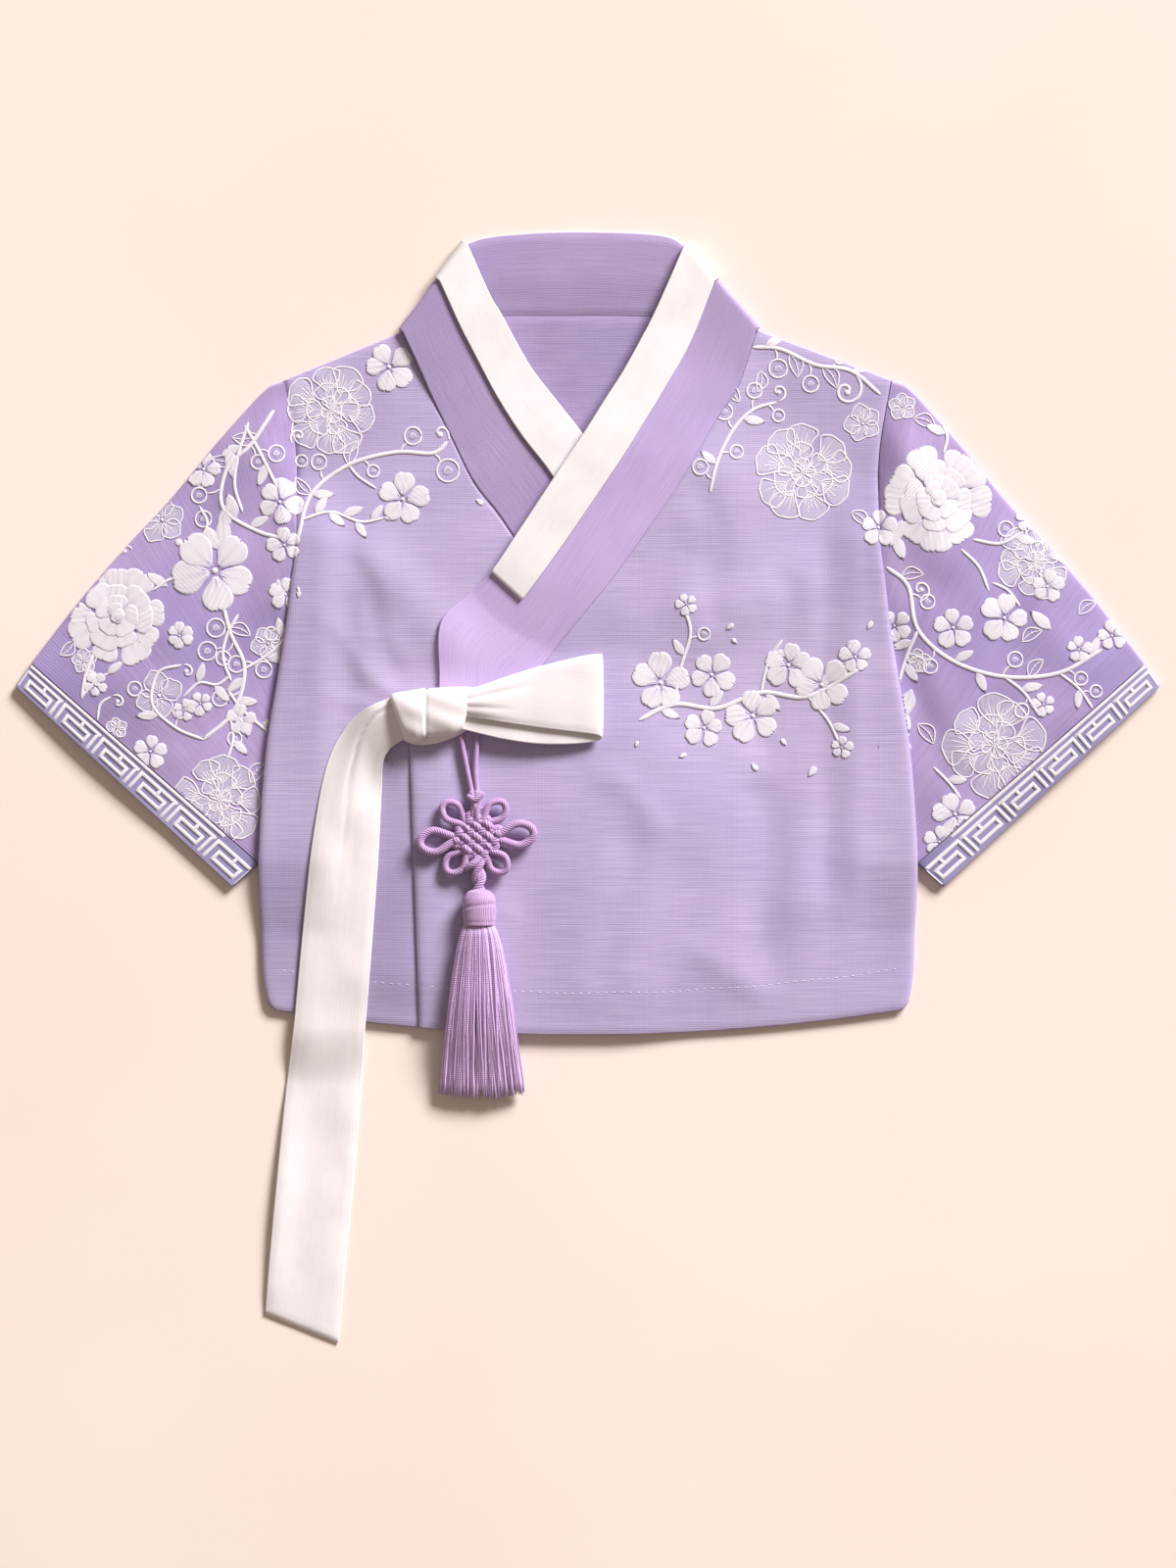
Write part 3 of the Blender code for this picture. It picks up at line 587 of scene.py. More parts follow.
def course(shares, right_end, left_end):
    """The band's middle surface, from the hidden end round the neck to the square end."""
    def place(table, at, height):
        rows = eased(np.arange(len(table)), table, at)
        flat = rows[:, None, :2] + shares[None, :, None] * (rows[:, None, 2:] - rows[:, None, :2])
        z = height(flat[..., 0], flat[..., 1], at[:, None])
        return np.dstack([flat, z])

    def on_front(under):
        def height(x, y, at):
            puff = 0.25 * np.sin(np.pi * shares)[None, :] + 0.22 * unevenness(x, y, 21.0, 8.2)
            return under(x, y) + BAND / 2.0 + puff + NECK_ROLL * blend(3.0, 0.0, at)
        return height

    def behind(x, y, at):
        lift = (BACK_LIFT - BAND / 2.0) * blend(1.0, 0.5, shares)[None, :]
        return BAND / 2.0 + lift + 0.2 * unevenness(x, y, 17.0, 5.5) * np.sin(np.pi * shares)

    def turned(start, end):
        angle = np.pi * np.arange(1, TURN_ROWS + 1)[:, None] / (TURN_ROWS + 1)
        middle, half = (start + end) / 2.0, np.abs(start[:, 2] - end[:, 2]) / 2.0
        side = 1.0 if start[0, 0] > NECK_MIDDLE else -1.0
        return np.dstack([
            middle[:, 0] + side * ROLL_OUT * half * np.sin(angle),
            middle[:, 1] + ROLL_UP * half * np.sin(angle),
            middle[:, 2] + (start[:, 2] - end[:, 2]) / 2.0 * np.cos(angle),
        ])

    right = place(COLLAR_RIGHT_HAND, np.linspace(right_end - 1.0, 0.0, SECTION_ROWS * right_end),
                  on_front(inner_under))
    behind_neck = place(COLLAR_BACK, np.linspace(0.0, len(COLLAR_BACK) - 1.0, NECK_ROWS), behind)
    left = place(COLLAR_LEFT_HAND, np.linspace(0.0, left_end - 1.0, SECTION_ROWS * left_end),
                 on_front(outer_under))
    return np.vstack([
        right, turned(right[-1], behind_neck[0]), behind_neck,
        turned(behind_neck[-1], left[0]), left,
    ])


def run_along(grid):
    """UVs of a strip in millimetres: x along it, y across it."""
    along = np.zeros(grid.shape[:2])
    across = np.zeros(grid.shape[:2])
    middle = grid[:, grid.shape[1] // 2]
    along[1:] = np.cumsum(np.linalg.norm(np.diff(middle, axis=0), axis=1))[:, None]
    across[:, 1:] = np.cumsum(np.linalg.norm(np.diff(grid, axis=1), axis=2), axis=1)
    return np.stack([along, across], axis=2)


grid = course(close_set(20, 0.008), len(COLLAR_RIGHT_HAND), len(COLLAR_LEFT_HAND))
# Painted shade darkens it from the hidden end round the back of the neck; painted light makes it paler down
# the outer front, and palest towards its square end
share = np.linspace(0.0, 1.0, len(grid))
collar_painted_shade = 0.17 - 0.24 * blend(0.56, 0.62, share) - 0.17 * blend(0.80, 0.90, share)
collar_painted_shade = collar_painted_shade[:, None] + np.zeros(grid.shape[:2])
collar = wall("collar", grid, BAND, run_along(grid), press=0.5, marks=collar_painted_shade)
# The same linen, doubled over a stiffener and pressed hard: closer in tone, a little pinker
collar_linen = linen_finish("lavender slub linen, doubled and pressed", "#B29DC9", "#CDB8DF",
                            "#B2A2D6")
collar.data.materials.append(collar_linen)
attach(collar, "root")
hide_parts("collar_band")

WHITE_SHARE = 0.42
WHITE_ENDS = (7, 8)                        # the sections that it ends at, right and left
carrier = course(close_set(14, 0.012) * WHITE_SHARE, *WHITE_ENDS)
grid = carrier - normals(carrier) * (BAND / 2.0 + GAP + WHITE / 2.0)
# where it turns over at the neck its folds lie close together and shade each other
first_turn = SECTION_ROWS * WHITE_ENDS[0]
next_turn = first_turn + TURN_ROWS + NECK_ROWS
shade = np.zeros(grid.shape[:2])
shade[first_turn:first_turn + TURN_ROWS] = np.linspace(0.08, 0.7, TURN_ROWS)[:, None]
shade[next_turn:next_turn + TURN_ROWS] = np.linspace(0.7, 0.08, TURN_ROWS)[:, None]
over_collar = wall("over_collar_white", grid, WHITE, run_along(grid), press=0.35, marks=shade)

# Cotton, fine and plain woven, starched: chalk white, matt, with a faint even weave
starched_cotton, tree, shader = new_finish(
    "white cotton, starched", Roughness=0.85, Specular_IOR_Level=0.3, Sheen_Weight=0.1)
uv = node(tree, "ShaderNodeTexCoord")
threads = node(tree, "ShaderNodeMapping", Vector=(uv, "UV"), Scale=(60.0, 1100.0, 1.0))
streak = node(tree, "ShaderNodeTexNoise", Vector=(threads, 0), Scale=1.0, Detail=3.0)
soft = node(tree, "ShaderNodeTexNoise", Vector=(uv, "UV"), Scale=45.0, Detail=3.0)
tone = node(tree, "ShaderNodeMath", {"operation": "MULTIPLY_ADD"}, _0=(streak, "Fac"), _1=0.5,
            _2=(soft, "Fac"))
ramp = node(tree, "ShaderNodeValToRGB", Fac=(tone, 0))
set_stops(ramp, (0.45, "#F0E9E8"), (0.95, "#FBF8F6"))
tree.links.new(darker_where_marked(tree, (ramp, "Color")), shader.inputs["Base Color"])
# threads are drawn 0.8 mm apart, about three times their real spacing
weft, warp = (
    node(tree, "ShaderNodeTexWave", {"bands_direction": way}, Vector=(uv, "UV"), Scale=400.0,
         Distortion=0.4)
    for way in "YX"
)
weave = node(tree, "ShaderNodeMath", {"operation": "MAXIMUM"}, _0=(weft, "Fac"), _1=(warp, "Fac"))
bump = node(tree, "ShaderNodeBump", Height=(weave, 0), Strength=0.12, Distance=0.0003)
tree.links.new(bump.outputs["Normal"], shader.inputs["Normal"])
over_collar.data.materials.append(starched_cotton)
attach(over_collar, "root")
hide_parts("over_collar")


# ------------------------------------------------------------------------------- sleeves
# Short straight sleeves of the embroidered linen, each a flattened tube folded along the
# shoulder line and the underarm, tucked under the body's side at the armpit.

PRESSED = 2.0 * CLOTH + GAP
ARMPIT_UP, ARMPIT_OUT, TUCK_UP = 212.0, 141.0, 246.0
FLAT_FROM = 0.70
SLEEVE_RINGS, SLEEVE_ACROSS = 78, 58
SHOULDER_RINGS, SHOULDER_FROM, SHOULDER_TO = 1.7, 248.0, 290.0    # where the body presses it flat
SLEEVE = (
    # top out, top up, underarm out, underarm up, loft
    (155.0, 334.0, 141.0, 212.0, 2.5),
    (163.5, 329.3, 140.5, 196.0, 2.6),
    (176.0, 316.3, 140.5, 180.0, 2.6),
    (192.0, 298.0, 141.5, 160.0, 2.6),
    (213.0, 272.5, 144.0, 140.0, 2.4),
    (235.0, 249.0, 148.5, 121.0, 2.2),
    (259.0, 221.0, 156.0, 102.5, 1.8),
    (283.85, 189.0, 167.65, 87.0, 1.4),
)
CUFF = (
    # top out, top up, underarm out, underarm up, loft
    (284.1, 188.6, 167.9, 86.6, 1.4),
    (291.8, 177.5, 181.0, 75.0, 1.2),
)
SLEEVE_CREASES = (
    # ring, share across, to ring, to share, half width, height, for each hand in turn
    ((0.6, 0.30, 2.6, 0.62, 9.0, 0.9), (0.5, 0.55, 3.0, 0.80, 7.0, 0.8),
     (2.2, 0.16, 5.2, 0.34, 12.0, 0.8), (4.0, 0.74, 6.6, 0.52, 9.0, -0.6),
     (1.0, 0.10, 2.8, 0.22, 8.0, 0.6)),
    ((0.4, 0.42, 2.4, 0.70, 8.0, 0.9), (0.8, 0.22, 3.4, 0.34, 10.0, 0.8),
     (3.2, 0.60, 6.0, 0.66, 10.0, 0.8), (3.6, 0.14, 6.2, 0.28, 11.0, -0.6),
     (0.5, 0.66, 2.2, 0.86, 6.0, 0.7)),
)


def armhole(up):
    """How far out the sleeve starts: at the body's side, or tucked in under it."""
    side = eased(SIDE_UP, SIDE_OUT, TUCK_UP)[0, 0]
    tucked = ARMPIT_OUT + (side - ARMPIT_OUT) * (up - ARMPIT_UP) / (TUCK_UP - ARMPIT_UP)
    sewn = np.reshape(eased(SIDE_UP, SIDE_OUT, np.ravel(up)), np.shape(up))
    return np.where(up >= TUCK_UP, sewn, tucked)


def sleeve_place(table, mirror, at, share, z=None):
    """Points on the sleeve's top layer (or at heights z), by ring and share across."""
    rows = eased(np.arange(len(table)), table, np.ravel(at)).reshape(np.shape(at) + (5,))
    out = rows[..., 0] + share * (rows[..., 2] - rows[..., 0])
    up = rows[..., 1] + share * (rows[..., 3] - rows[..., 1])
    if table is SLEEVE:
        keep = blend(0.9, 0.0, at)
        out = out * (1.0 - keep) + (armhole(up) + SEAM) * keep
    if z is None:
        loft = rows[..., 4] * np.sin(np.pi * np.minimum(share / FLAT_FROM, 1.0))
        if table is SLEEVE:
            # by the shoulder it lies as flat as the body that it is sewn to
            near = blend(SHOULDER_RINGS, 0.0, at) * blend(SHOULDER_FROM, SHOULDER_TO, up)
            loft = loft * (1.0 - near)
        z = PRESSED + loft
    return np.stack([mirror * out, up, z], axis=-1)


def sleeve_tube(name, table, mirror, rings, across, seed, creases=()):
    """A flattened tube of cloth through a table's rings, with its inner face."""
    at = np.concatenate([[0.0, 0.012], np.linspace(0.04, len(table) - 1.04, rings),
                         [len(table) - 1.012, len(table) - 1.0]])[:, None]
    edge = eased(np.arange(len(table)), table, at[:, 0])
    chord = np.hypot(edge[:, 0] - edge[:, 2], edge[:, 1] - edge[:, 3])[:, None]
    inset = (PRESSED / 2.0) / chord
    flat = np.linspace(0.0, 1.0, across)[None, :]
    turn = np.radians(np.linspace(-90.0, 90.0, 9))[None, 1:-1]
    low_share = inset + flat * (1.0 - 2.0 * inset)
    far_share = 1.0 - inset + inset * np.cos(turn)
    near_share = inset - inset * np.cos(turn)
    share = np.hstack([low_share, far_share, low_share[:, ::-1], near_share])
    rise = np.hstack([
        -np.ones_like(low_share), np.sin(turn) + 0.0 * chord,
        np.ones_like(low_share), -np.sin(turn) + 0.0 * chord])
    inner_share = np.hstack([
        low_share, 1.0 - inset + 0.15 * inset * np.cos(turn),
        low_share[:, ::-1], inset - 0.15 * inset * np.cos(turn)])
    base = sleeve_place(table, mirror, at + 0.0 * share, share)
    crown = base[..., 2] - PRESSED
    x, y = base[..., 0], base[..., 1]
    loose = blend(0.0, 0.12, share) * blend(1.0, 0.88, share)
    loose = loose * blend(0.0, 0.8, at) * blend(len(table) - 1.0, len(table) - 1.9, at)
    extra = 0.45 * unevenness(x, y, 26.0, seed)
    for a, s, b, t, half, tall in creases:
        start, end = sleeve_place(table, mirror, np.array([[a], [b]]), np.array([[s], [t]]))[:, 0, :2]
        extra = extra + crease(x, y, start, end, half, tall)
    crown = np.maximum(crown + extra * loose, 0.0) * np.maximum(rise, 0.0) ** 2
    lift = 0.3 * np.maximum(unevenness(x, y, 30.0, seed + 7.0), 0.0) * loose
    lift = lift * np.maximum(-rise, 0.0) ** 2
    z_out = PRESSED / 2.0 * (1.0 + rise) + crown + lift
    z_in = PRESSED / 2.0 + (PRESSED / 2.0 - CLOTH) * rise + crown + lift
    outer = np.dstack([x, y, z_out])
    inside = sleeve_place(table, mirror, at + 0.0 * share, inner_share)
    inner = np.dstack([inside[..., 0], inside[..., 1], z_in])
    rows, count = share.shape
    k, nxt = np.arange(count), np.roll(np.arange(count), -1)
    first, second = (nxt, k) if mirror > 0 else (k, nxt)
    start = np.arange(rows - 1)[:, None] * count
    a, b = (start + first).ravel(), (start + second).ravel()
    whole = rows * count                   # from a point of the outer face to the inner one's
    last = whole - count
    faces = [
        np.stack([a, b, b + count, a + count], axis=1),
        np.stack([a + whole, a + whole + count, b + whole + count, b + whole], axis=1),
        np.stack([second, first, first + whole, second + whole], axis=1),
        np.stack([first + last, second + last, second + last + whole, first + last + whole], axis=1),
    ]
    across_mm = share * chord * np.where(rise >= 0.0, 1.0, -1.0)
    along_mm = at * 24.0 + 0.0 * share
    uvs = np.stack([across_mm, along_mm], axis=2).reshape(-1, 2)
    # marks: clouds where the dye has taken deeper, at random, and painted shade by the armhole towards the
    # underarm, under the body's side
    dye_and_painted_shade = 0.10 + 0.26 * np.maximum(unevenness(x, y, 34.0, seed + 3.0), -0.25)
    dye_and_painted_shade = (dye_and_painted_shade + 0.10 * blend(1.4, 0.0, at) * blend(0.2, 0.8, share)).ravel()
    return build(name, np.vstack([outer.reshape(-1, 3), inner.reshape(-1, 3)]),
                 np.vstack(faces), np.vstack([uvs, uvs]) * MM, np.concatenate([dye_and_painted_shade, dye_and_painted_shade]))


# The same linen under the needlework: a deeper lavender, its dye in larger, bluer clouds
embroidered_linen = linen_finish("lavender linen, the embroidery's ground", "#9C84BA", "#D2BDE8",
                                 "#AB9CDA", cloud=0.75, clouded=0.75)
sleeves = {}
for hand, mirror, seed, creases in (
    ("right", -1.0, 12.4, SLEEVE_CREASES[0]), ("left", 1.0, 23.9, SLEEVE_CREASES[1])
):
    made = sleeve_tube(f"sleeve_{hand}_cloth", SLEEVE, mirror, SLEEVE_RINGS, SLEEVE_ACROSS, seed, creases)
    made.data.materials.append(embroidered_linen)
    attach(made, "root")
    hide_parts(f"sleeve_{hand}")
    sleeves[hand] = made


# ---------------------------------------------------------------------------- cuff bands
# A bias-free band of slate lavender cotton round each sleeve's end, worked in white satin
# stitch: a border line by the sleeve, a hooked line below it and a row of closed keys.

FRET_REPEAT, FRET_CELL, FRET_WIDE = 26.0, 1.44, 2.0
FRET_ROWS = (0.9, 4.4, 8.1, 12.3)          # border, hook line, key's top, key's foot
FRET_FROM, FRET_RUN, FRET_REPEATS, FRET_HIGH = 0.6, 153.0, 6, 0.42
BAR_FOOT = 13.4
CUFF_DEEP, CUFF_RINGS = 15.6, 12

# Cotton, plain woven and close: matt, evener than the linen, and bluer beside it
cuff_cotton = linen_finish("slate lavender cotton, plain woven", "#968EBB", "#BAB0DA", "#A49ED2",
                           cloud=0.4)

# Stranded cotton, mercerised, laid in close satin stitch: bright white rows of thread with
# a soft sheen, each row a fine ridge
satin_thread, tree, shader = new_finish(
    "white cotton floss, satin stitched", Roughness=0.55, Specular_IOR_Level=0.35, Sheen_Weight=0.2)
uv = node(tree, "ShaderNodeTexCoord")
# threads are drawn 0.6 mm apart, half as far again as they lie, so that they show
lay = node(tree, "ShaderNodeTexWave", {"bands_direction": "X"}, Vector=(uv, "UV"),
           Scale=520.0, Distortion=1.2, Detail=2.0)
fibre = node(tree, "ShaderNodeTexNoise", Vector=(uv, "UV"), Scale=900.0, Detail=2.0)
tone = node(tree, "ShaderNodeMath", {"operation": "MULTIPLY_ADD"}, _0=(fibre, "Fac"), _1=0.5,
            _2=(lay, "Fac"))
ramp = node(tree, "ShaderNodeValToRGB", Fac=(tone, 0))
set_stops(ramp, (0.1, "#E4DAE6"), (0.9, "#FDF9FB"))
# here a mark is how much thread covers the cloth: 1 in full, less towards a stitch's edge
mark = node(tree, "ShaderNodeAttribute", {"attribute_name": "mark"})
cover = node(tree, "ShaderNodeMix", {"data_type": "RGBA"}, Factor=(mark, "Fac"), _6=linear("#A99BCB"),
             _7=(ramp, "Color"))
tree.links.new(cover.outputs[2], shader.inputs["Base Color"])
bump = node(tree, "ShaderNodeBump", Height=(lay, "Fac"), Strength=0.5, Distance=0.0003)
tree.links.new(bump.outputs["Normal"], shader.inputs["Normal"])


class Stitching:
    """Collects small domed grids of stitches and joins them into one mesh."""

    def __init__(self):
        self.points, self.faces, self.uvs, self.marks, self.count = [], [], [], [], 0

    def grid(self, points, uvs, marks, flip=False):
        """Adds a grid of points; marks are how much thread covers the cloth at each."""
        rows, columns = points.shape[:2]
        self.points.append(points.reshape(-1, 3))
        self.uvs.append(uvs.reshape(-1, 2))
        self.marks.append((marks + 0.0 * points[..., 0]).ravel())
        self.faces.append(quads(rows, columns, self.count, flip))
        self.count += rows * columns

    def join(self, name, material, slot="embroidered_linen"):
        """The one object of everything added so far."""
        made = build(name, np.vstack(self.points), np.vstack(self.faces),
                     np.vstack(self.uvs) * MM, np.concatenate(self.marks))
        made.data.materials.append(material)
        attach(made, "root")
        return made


DOME = np.array([-1.0, -0.97, -0.72, -0.3, 0.0, 0.3, 0.72, 0.97, 1.0])


def dome(high):
    """Heights across a satin-stitched line, its first and last just below the cloth."""
    return high * np.array([-0.5, 0.35, 0.85, 1.0, 1.04, 1.0, 0.85, 0.35, -0.5])


def fret_bars():
    """The chart's bars for one repeat, as (from, to) places: along the band, and down it."""
    border, hook, key_top, key_foot = FRET_ROWS
    bars = [((-0.5, border), (FRET_REPEAT - 0.5, border))]
    bars.append(((0.0, hook), (16.0 * FRET_CELL, hook)))
    for column in (0.0, 15.5):
        bars.append(((column * FRET_CELL, hook), (column * FRET_CELL, BAR_FOOT)))
    left, right = 3.0 * FRET_CELL, 13.0 * FRET_CELL
    bars += [((left, key_top), (right, key_top)), ((left, key_foot), (right, key_foot))]
    bars += [((left, key_top), (left, key_foot)), ((right, key_top), (right, key_foot))]
    bars.append(((9.0 * FRET_CELL, hook), (9.0 * FRET_CELL, key_top)))
    return bars


for hand, mirror, seed in (("right", -1.0, 31.0), ("left", 1.0, 37.0)):
    band = sleeve_tube(f"cuff_band_{hand}_cloth", CUFF, mirror, CUFF_RINGS, SLEEVE_ACROSS, seed)
    band.data.materials.append(cuff_cotton)
    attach(band, "root")
    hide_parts(f"cuff_band_{hand}")

    fret = Stitching()
    reach = FRET_WIDE / 2.0
    w = DOME[None, :] * reach
    for repeat, ((u0, v0), (u1, v1)) in itertools.product(range(FRET_REPEATS), fret_bars()):
        u0, u1 = (u + repeat * FRET_REPEAT + FRET_FROM for u in (u0, u1))
        if u1 > FRET_RUN + 1.0:
            continue
        length = math.hypot(u1 - u0, v1 - v0)
        rows = max(2, int(length / 2.0) + 2) + 2
        s = np.linspace(-reach, length + reach, rows)[:, None]
        upright = (u0 + w + 0.0 * s, v0 + s + 0.0 * w)
        level = (u0 + s + 0.0 * w, v0 - w + 0.0 * s)
        u, v = upright if u0 == u1 else level
        share = np.clip(u / FRET_RUN, 0.004, 0.996)
        high = dome(FRET_HIGH)[None, :] * np.ones((rows, 1))
        high[[0, -1]] *= 0.1
        top = sleeve_place(CUFF, mirror, np.clip(v / CUFF_DEEP, 0.0, 1.0), share)
        top[..., 2] += high * blend(0.0, 0.02, share)
        fret.grid(top, np.stack([s + 0.0 * w, w + 0.0 * s], axis=2),
                  1.0 - 0.5 * np.abs(w / reach) ** 6, flip=mirror > 0)
    fret.join(f"cuff_fret_{hand}", satin_thread)


# ---------------------------------------------------------------------------- ribbon tie
# The tie (goreum) is a doubled strip of white cotton, knotted in a half bow at the
# wearer's right breast: a wrapped knot, one folded loop and a long tail cut on the slant.

TAIL = (
    # left x, left y, right x, right y
    (-95.0, 172.6, -92.0, 151.0),
    (-102.5, 170.3, -96.8, 148.6),
    (-113.5, 165.2, -101.2, 145.0),
    (-124.5, 154.6, -104.4, 138.5),
    (-133.5, 134.5, -105.4, 124.0),
    (-140.0, 99.0, -107.0, 91.0),
    (-144.5, 59.0, -110.0, 50.0),
    (-148.0, 22.0, -112.5, 18.0),
    (-149.5, 6.0, -113.8, 3.0),
    (-151.5, -10.0, -115.0, -12.0),
    (-154.0, -30.0, -116.5, -32.0),
    (-158.5, -75.0, -120.5, -80.0),
    (-162.0, -112.0, -124.5, -120.0),
    (-164.5, -142.5, -127.5, -157.5),
)
TAIL_LIFT, TAIL_LIFT_UP, TAIL_LIFT_ACROSS = 5.2, (118.0, 168.0), (-132.0, -104.0)
# the ring and the share across that the fold passes
TAIL_CREASE = ((0.0, 0.1), (1.5, 0.2), (2.6, 0.34), (3.4, 0.42), (4.6, 0.46))
LOOP = (
    # x, low y, high y, middle z; out along the back layer, back along the front one
    (-67.0, 156.4, 173.6, 11.4),
    (-56.0, 153.6, 175.6, 11.2),
    (-42.0, 150.4, 181.0, 10.8),
    (-26.0, 148.2, 186.0, 10.0),
    (-10.0, 148.0, 190.0, 9.2),
    (0.0, 148.8, 192.4, 8.5),
    (5.2, 149.8, 193.2, 8.0),
    (7.0, 151.0, 193.4, 9.0),
    (5.4, 152.4, 193.4, 10.3),
    (0.0, 153.4, 192.8, 10.9),
    (-10.0, 154.6, 190.6, 11.4),
    (-26.0, 156.6, 186.6, 12.2),
    (-42.0, 159.0, 181.6, 13.0),
    (-56.0, 161.2, 176.8, 13.4),
    (-67.0, 162.6, 174.6, 13.2),
)
KNOT = (
    # x, low y, high y, low z, high z; the left wrap, its edge, then the right wrap
    (-96.6, 152.4, 169.4, 8.6, 12.8),
    (-96.9, 150.6, 170.8, 7.6, 14.4),
    (-96.2, 149.4, 172.0, 7.0, 15.6),
    (-94.0, 148.8, 173.6, 6.4, 16.6),
    (-89.0, 149.0, 174.8, 6.2, 17.6),
    (-84.6, 150.4, 175.9, 6.2, 17.8),
    (-83.2, 150.7, 176.1, 6.2, 17.5),
    (-82.5, 151.0, 175.8, 6.3, 16.9),
    (-81.9, 151.3, 175.5, 6.4, 16.5),
    (-81.3, 151.4, 175.6, 6.4, 16.6),
    (-80.0, 151.5, 176.1, 6.5, 16.9),
    (-75.0, 151.7, 176.5, 6.6, 17.3),
    (-70.0, 152.0, 176.8, 6.8, 17.1),
    (-66.5, 152.8, 176.9, 7.2, 16.5),
    (-64.2, 153.8, 176.8, 7.8, 15.7),
    (-62.6, 155.0, 176.5, 8.8, 14.7),
    (-62.0, 156.6, 176.0, 9.8, 13.8),
)
KNOT_SLANT = 0.37
UNDER_TURN = (
    # x, low y, high y, low z, high z; the ribbon's turn that shows below the knot
    (-95.0, 151.0, 158.0, 7.0, 9.0),
    (-92.5, 149.0, 160.0, 6.2, 9.8),
    (-87.0, 147.4, 162.0, 5.8, 10.4),
    (-79.0, 147.8, 162.0, 5.8, 10.4),
    (-71.0, 150.0, 162.0, 6.2, 10.2),
    (-65.0, 152.6, 161.0, 7.0, 9.8),
    (-62.0, 154.6, 160.0, 7.8, 9.2),
)


def on_fronts(x, y):
    """The height of the fronts' top, where the tail lies across both."""
    return np.maximum(inner_under(x, y) + CLOTH + GAP, outer_under(x, y) + CLOTH / 2.0)


def on_outer(x, y):
    """The least height of a piece that lies on the outer front and its collar end."""
    return outer_under(x, y) + BAND + GAP


# Cotton, the same but unstarched and a little creamier
tie_cotton = starched_cotton.copy()
tie_cotton.name = "white cotton ribbon, soft"
set_stops(tie_cotton.node_tree.nodes["Color Ramp"], (0.45, "#EDE3E3"), (0.95, "#F8F2F0"))

# The tail bends over its own fold below the knot, then lies straight
at = np.concatenate([np.linspace(0.0, 4.5, 70), np.linspace(4.6, 13.0, 110)])
rows = eased(np.arange(len(TAIL)), TAIL, at)
share = close_set(20, 0.01)
flat = rows[:, None, :2] + share[None, :, None] * (rows[:, None, 2:] - rows[:, None, :2])
x, y = flat[..., 0], flat[..., 1]
z = on_fronts(x, y) * blend(-26.0, 4.0, y) + WHITE / 2.0
z = z + TAIL_LIFT * blend(*TAIL_LIFT_UP, y) * blend(*TAIL_LIFT_ACROSS, x)
fold = np.interp(at, *zip(*TAIL_CREASE))[:, None]
strong = blend(6.2, 3.0, at)[:, None]
z = z - strong * 1.5 * blend(0.0, 0.42, fold - share[None, :])
z = z - strong * 0.9 * np.exp(-((share[None, :] - fold) / 0.035) ** 2)
shade = strong * (0.26 * np.exp(-((share[None, :] - fold) / 0.022) ** 2)
                  + 0.07 * blend(0.0, 0.05, fold - share[None, :]))
# a dent inside the bend and a swell beside it
z = z - 1.0 * np.exp(-((x + 109.5) / 6.5) ** 2 - ((y - 134.0) / 17.0) ** 2)
z = z + 0.9 * np.exp(-((x + 121.0) / 9.0) ** 2 - ((y - 128.0) / 26.0) ** 2)
# past the hem its left edge lifts off the table
curl_up = blend(0.55, 0.0, share)[None, :] * blend(-10.0, -45.0, y) * blend(-156.0, -128.0, y)
z = z + (1.9 + 0.8 * np.sin(y * 0.055)) * curl_up ** 2
loose = blend(0.0, 0.3, share) * blend(1.0, 0.7, share)
z = z + (0.4 + 0.6 * np.maximum(unevenness(x, y, 34.0, 41.0), -0.6)) * loose[None, :]
z = z + 0.35 * np.maximum(unevenness(x, y, 70.0, 43.0), 0.0)
tail = wall("tie_tail_ribbon", np.dstack([x, y, np.maximum(z, WHITE / 2.0)])[::-1], WHITE,
            run_along(np.dstack([x, y, z])[::-1]), press=0.4, marks=shade[::-1])

# The loop: a flat back layer, turned over at its end, and a front one pleated at the knot
at = np.linspace(0.0, len(LOOP) - 1.0, 120)
rows = eased(np.arange(len(LOOP)), LOOP, at)
share = close_set(22, 0.01)
x = rows[:, :1] + 0.0 * share[None, :]
y = rows[:, 1:2] + share[None, :] * (rows[:, 2:3] - rows[:, 1:2])
front = blend(7.5, 10.0, at)[:, None]
near_knot = blend(-30.0, -56.0, x)
belly = np.sin(np.pi * share)[None, :] * (0.5 + 1.0 * near_knot)
pleat = np.exp(-((y - 166.5 + 0.06 * (x + 56.0)) / 1.3) ** 2) * blend(-34.0, -54.0, x)
tuck = np.exp(-((y - 171.5 - 0.22 * (x + 56.0)) / 1.5) ** 2) * blend(-22.0, -50.0, x)
z = rows[:, 3:4] + front * (belly - 0.45 * pleat - 0.5 * tuck) + 0.25 * unevenness(x, y, 15.0, 47.0)
x = x + 0.5 * np.sin(np.pi * share)[None, :] * blend(0.0, 6.0, x)
loop = wall("tie_loop_ribbon", np.dstack([x, y, z]), WHITE, run_along(np.dstack([x, y, z])),
            press=0.35)


def ring_faces(count, sides):
    """The faces of count rings of points, closed by a middle point at the start and the end."""
    k = np.arange(sides)
    nxt = (k + 1) % sides
    start = sides * np.arange(count - 1)[:, None]
    faces = np.dstack([start + k, start + sides + k, start + sides + nxt, start + nxt])
    whole = count * sides
    caps = [(whole, int(a), int(b)) for a, b in zip(k, nxt)]
    caps += [(whole + 1, int(b) + whole - sides, int(a) + whole - sides) for a, b in zip(k, nxt)]
    return faces.reshape(-1, 4).tolist() + caps


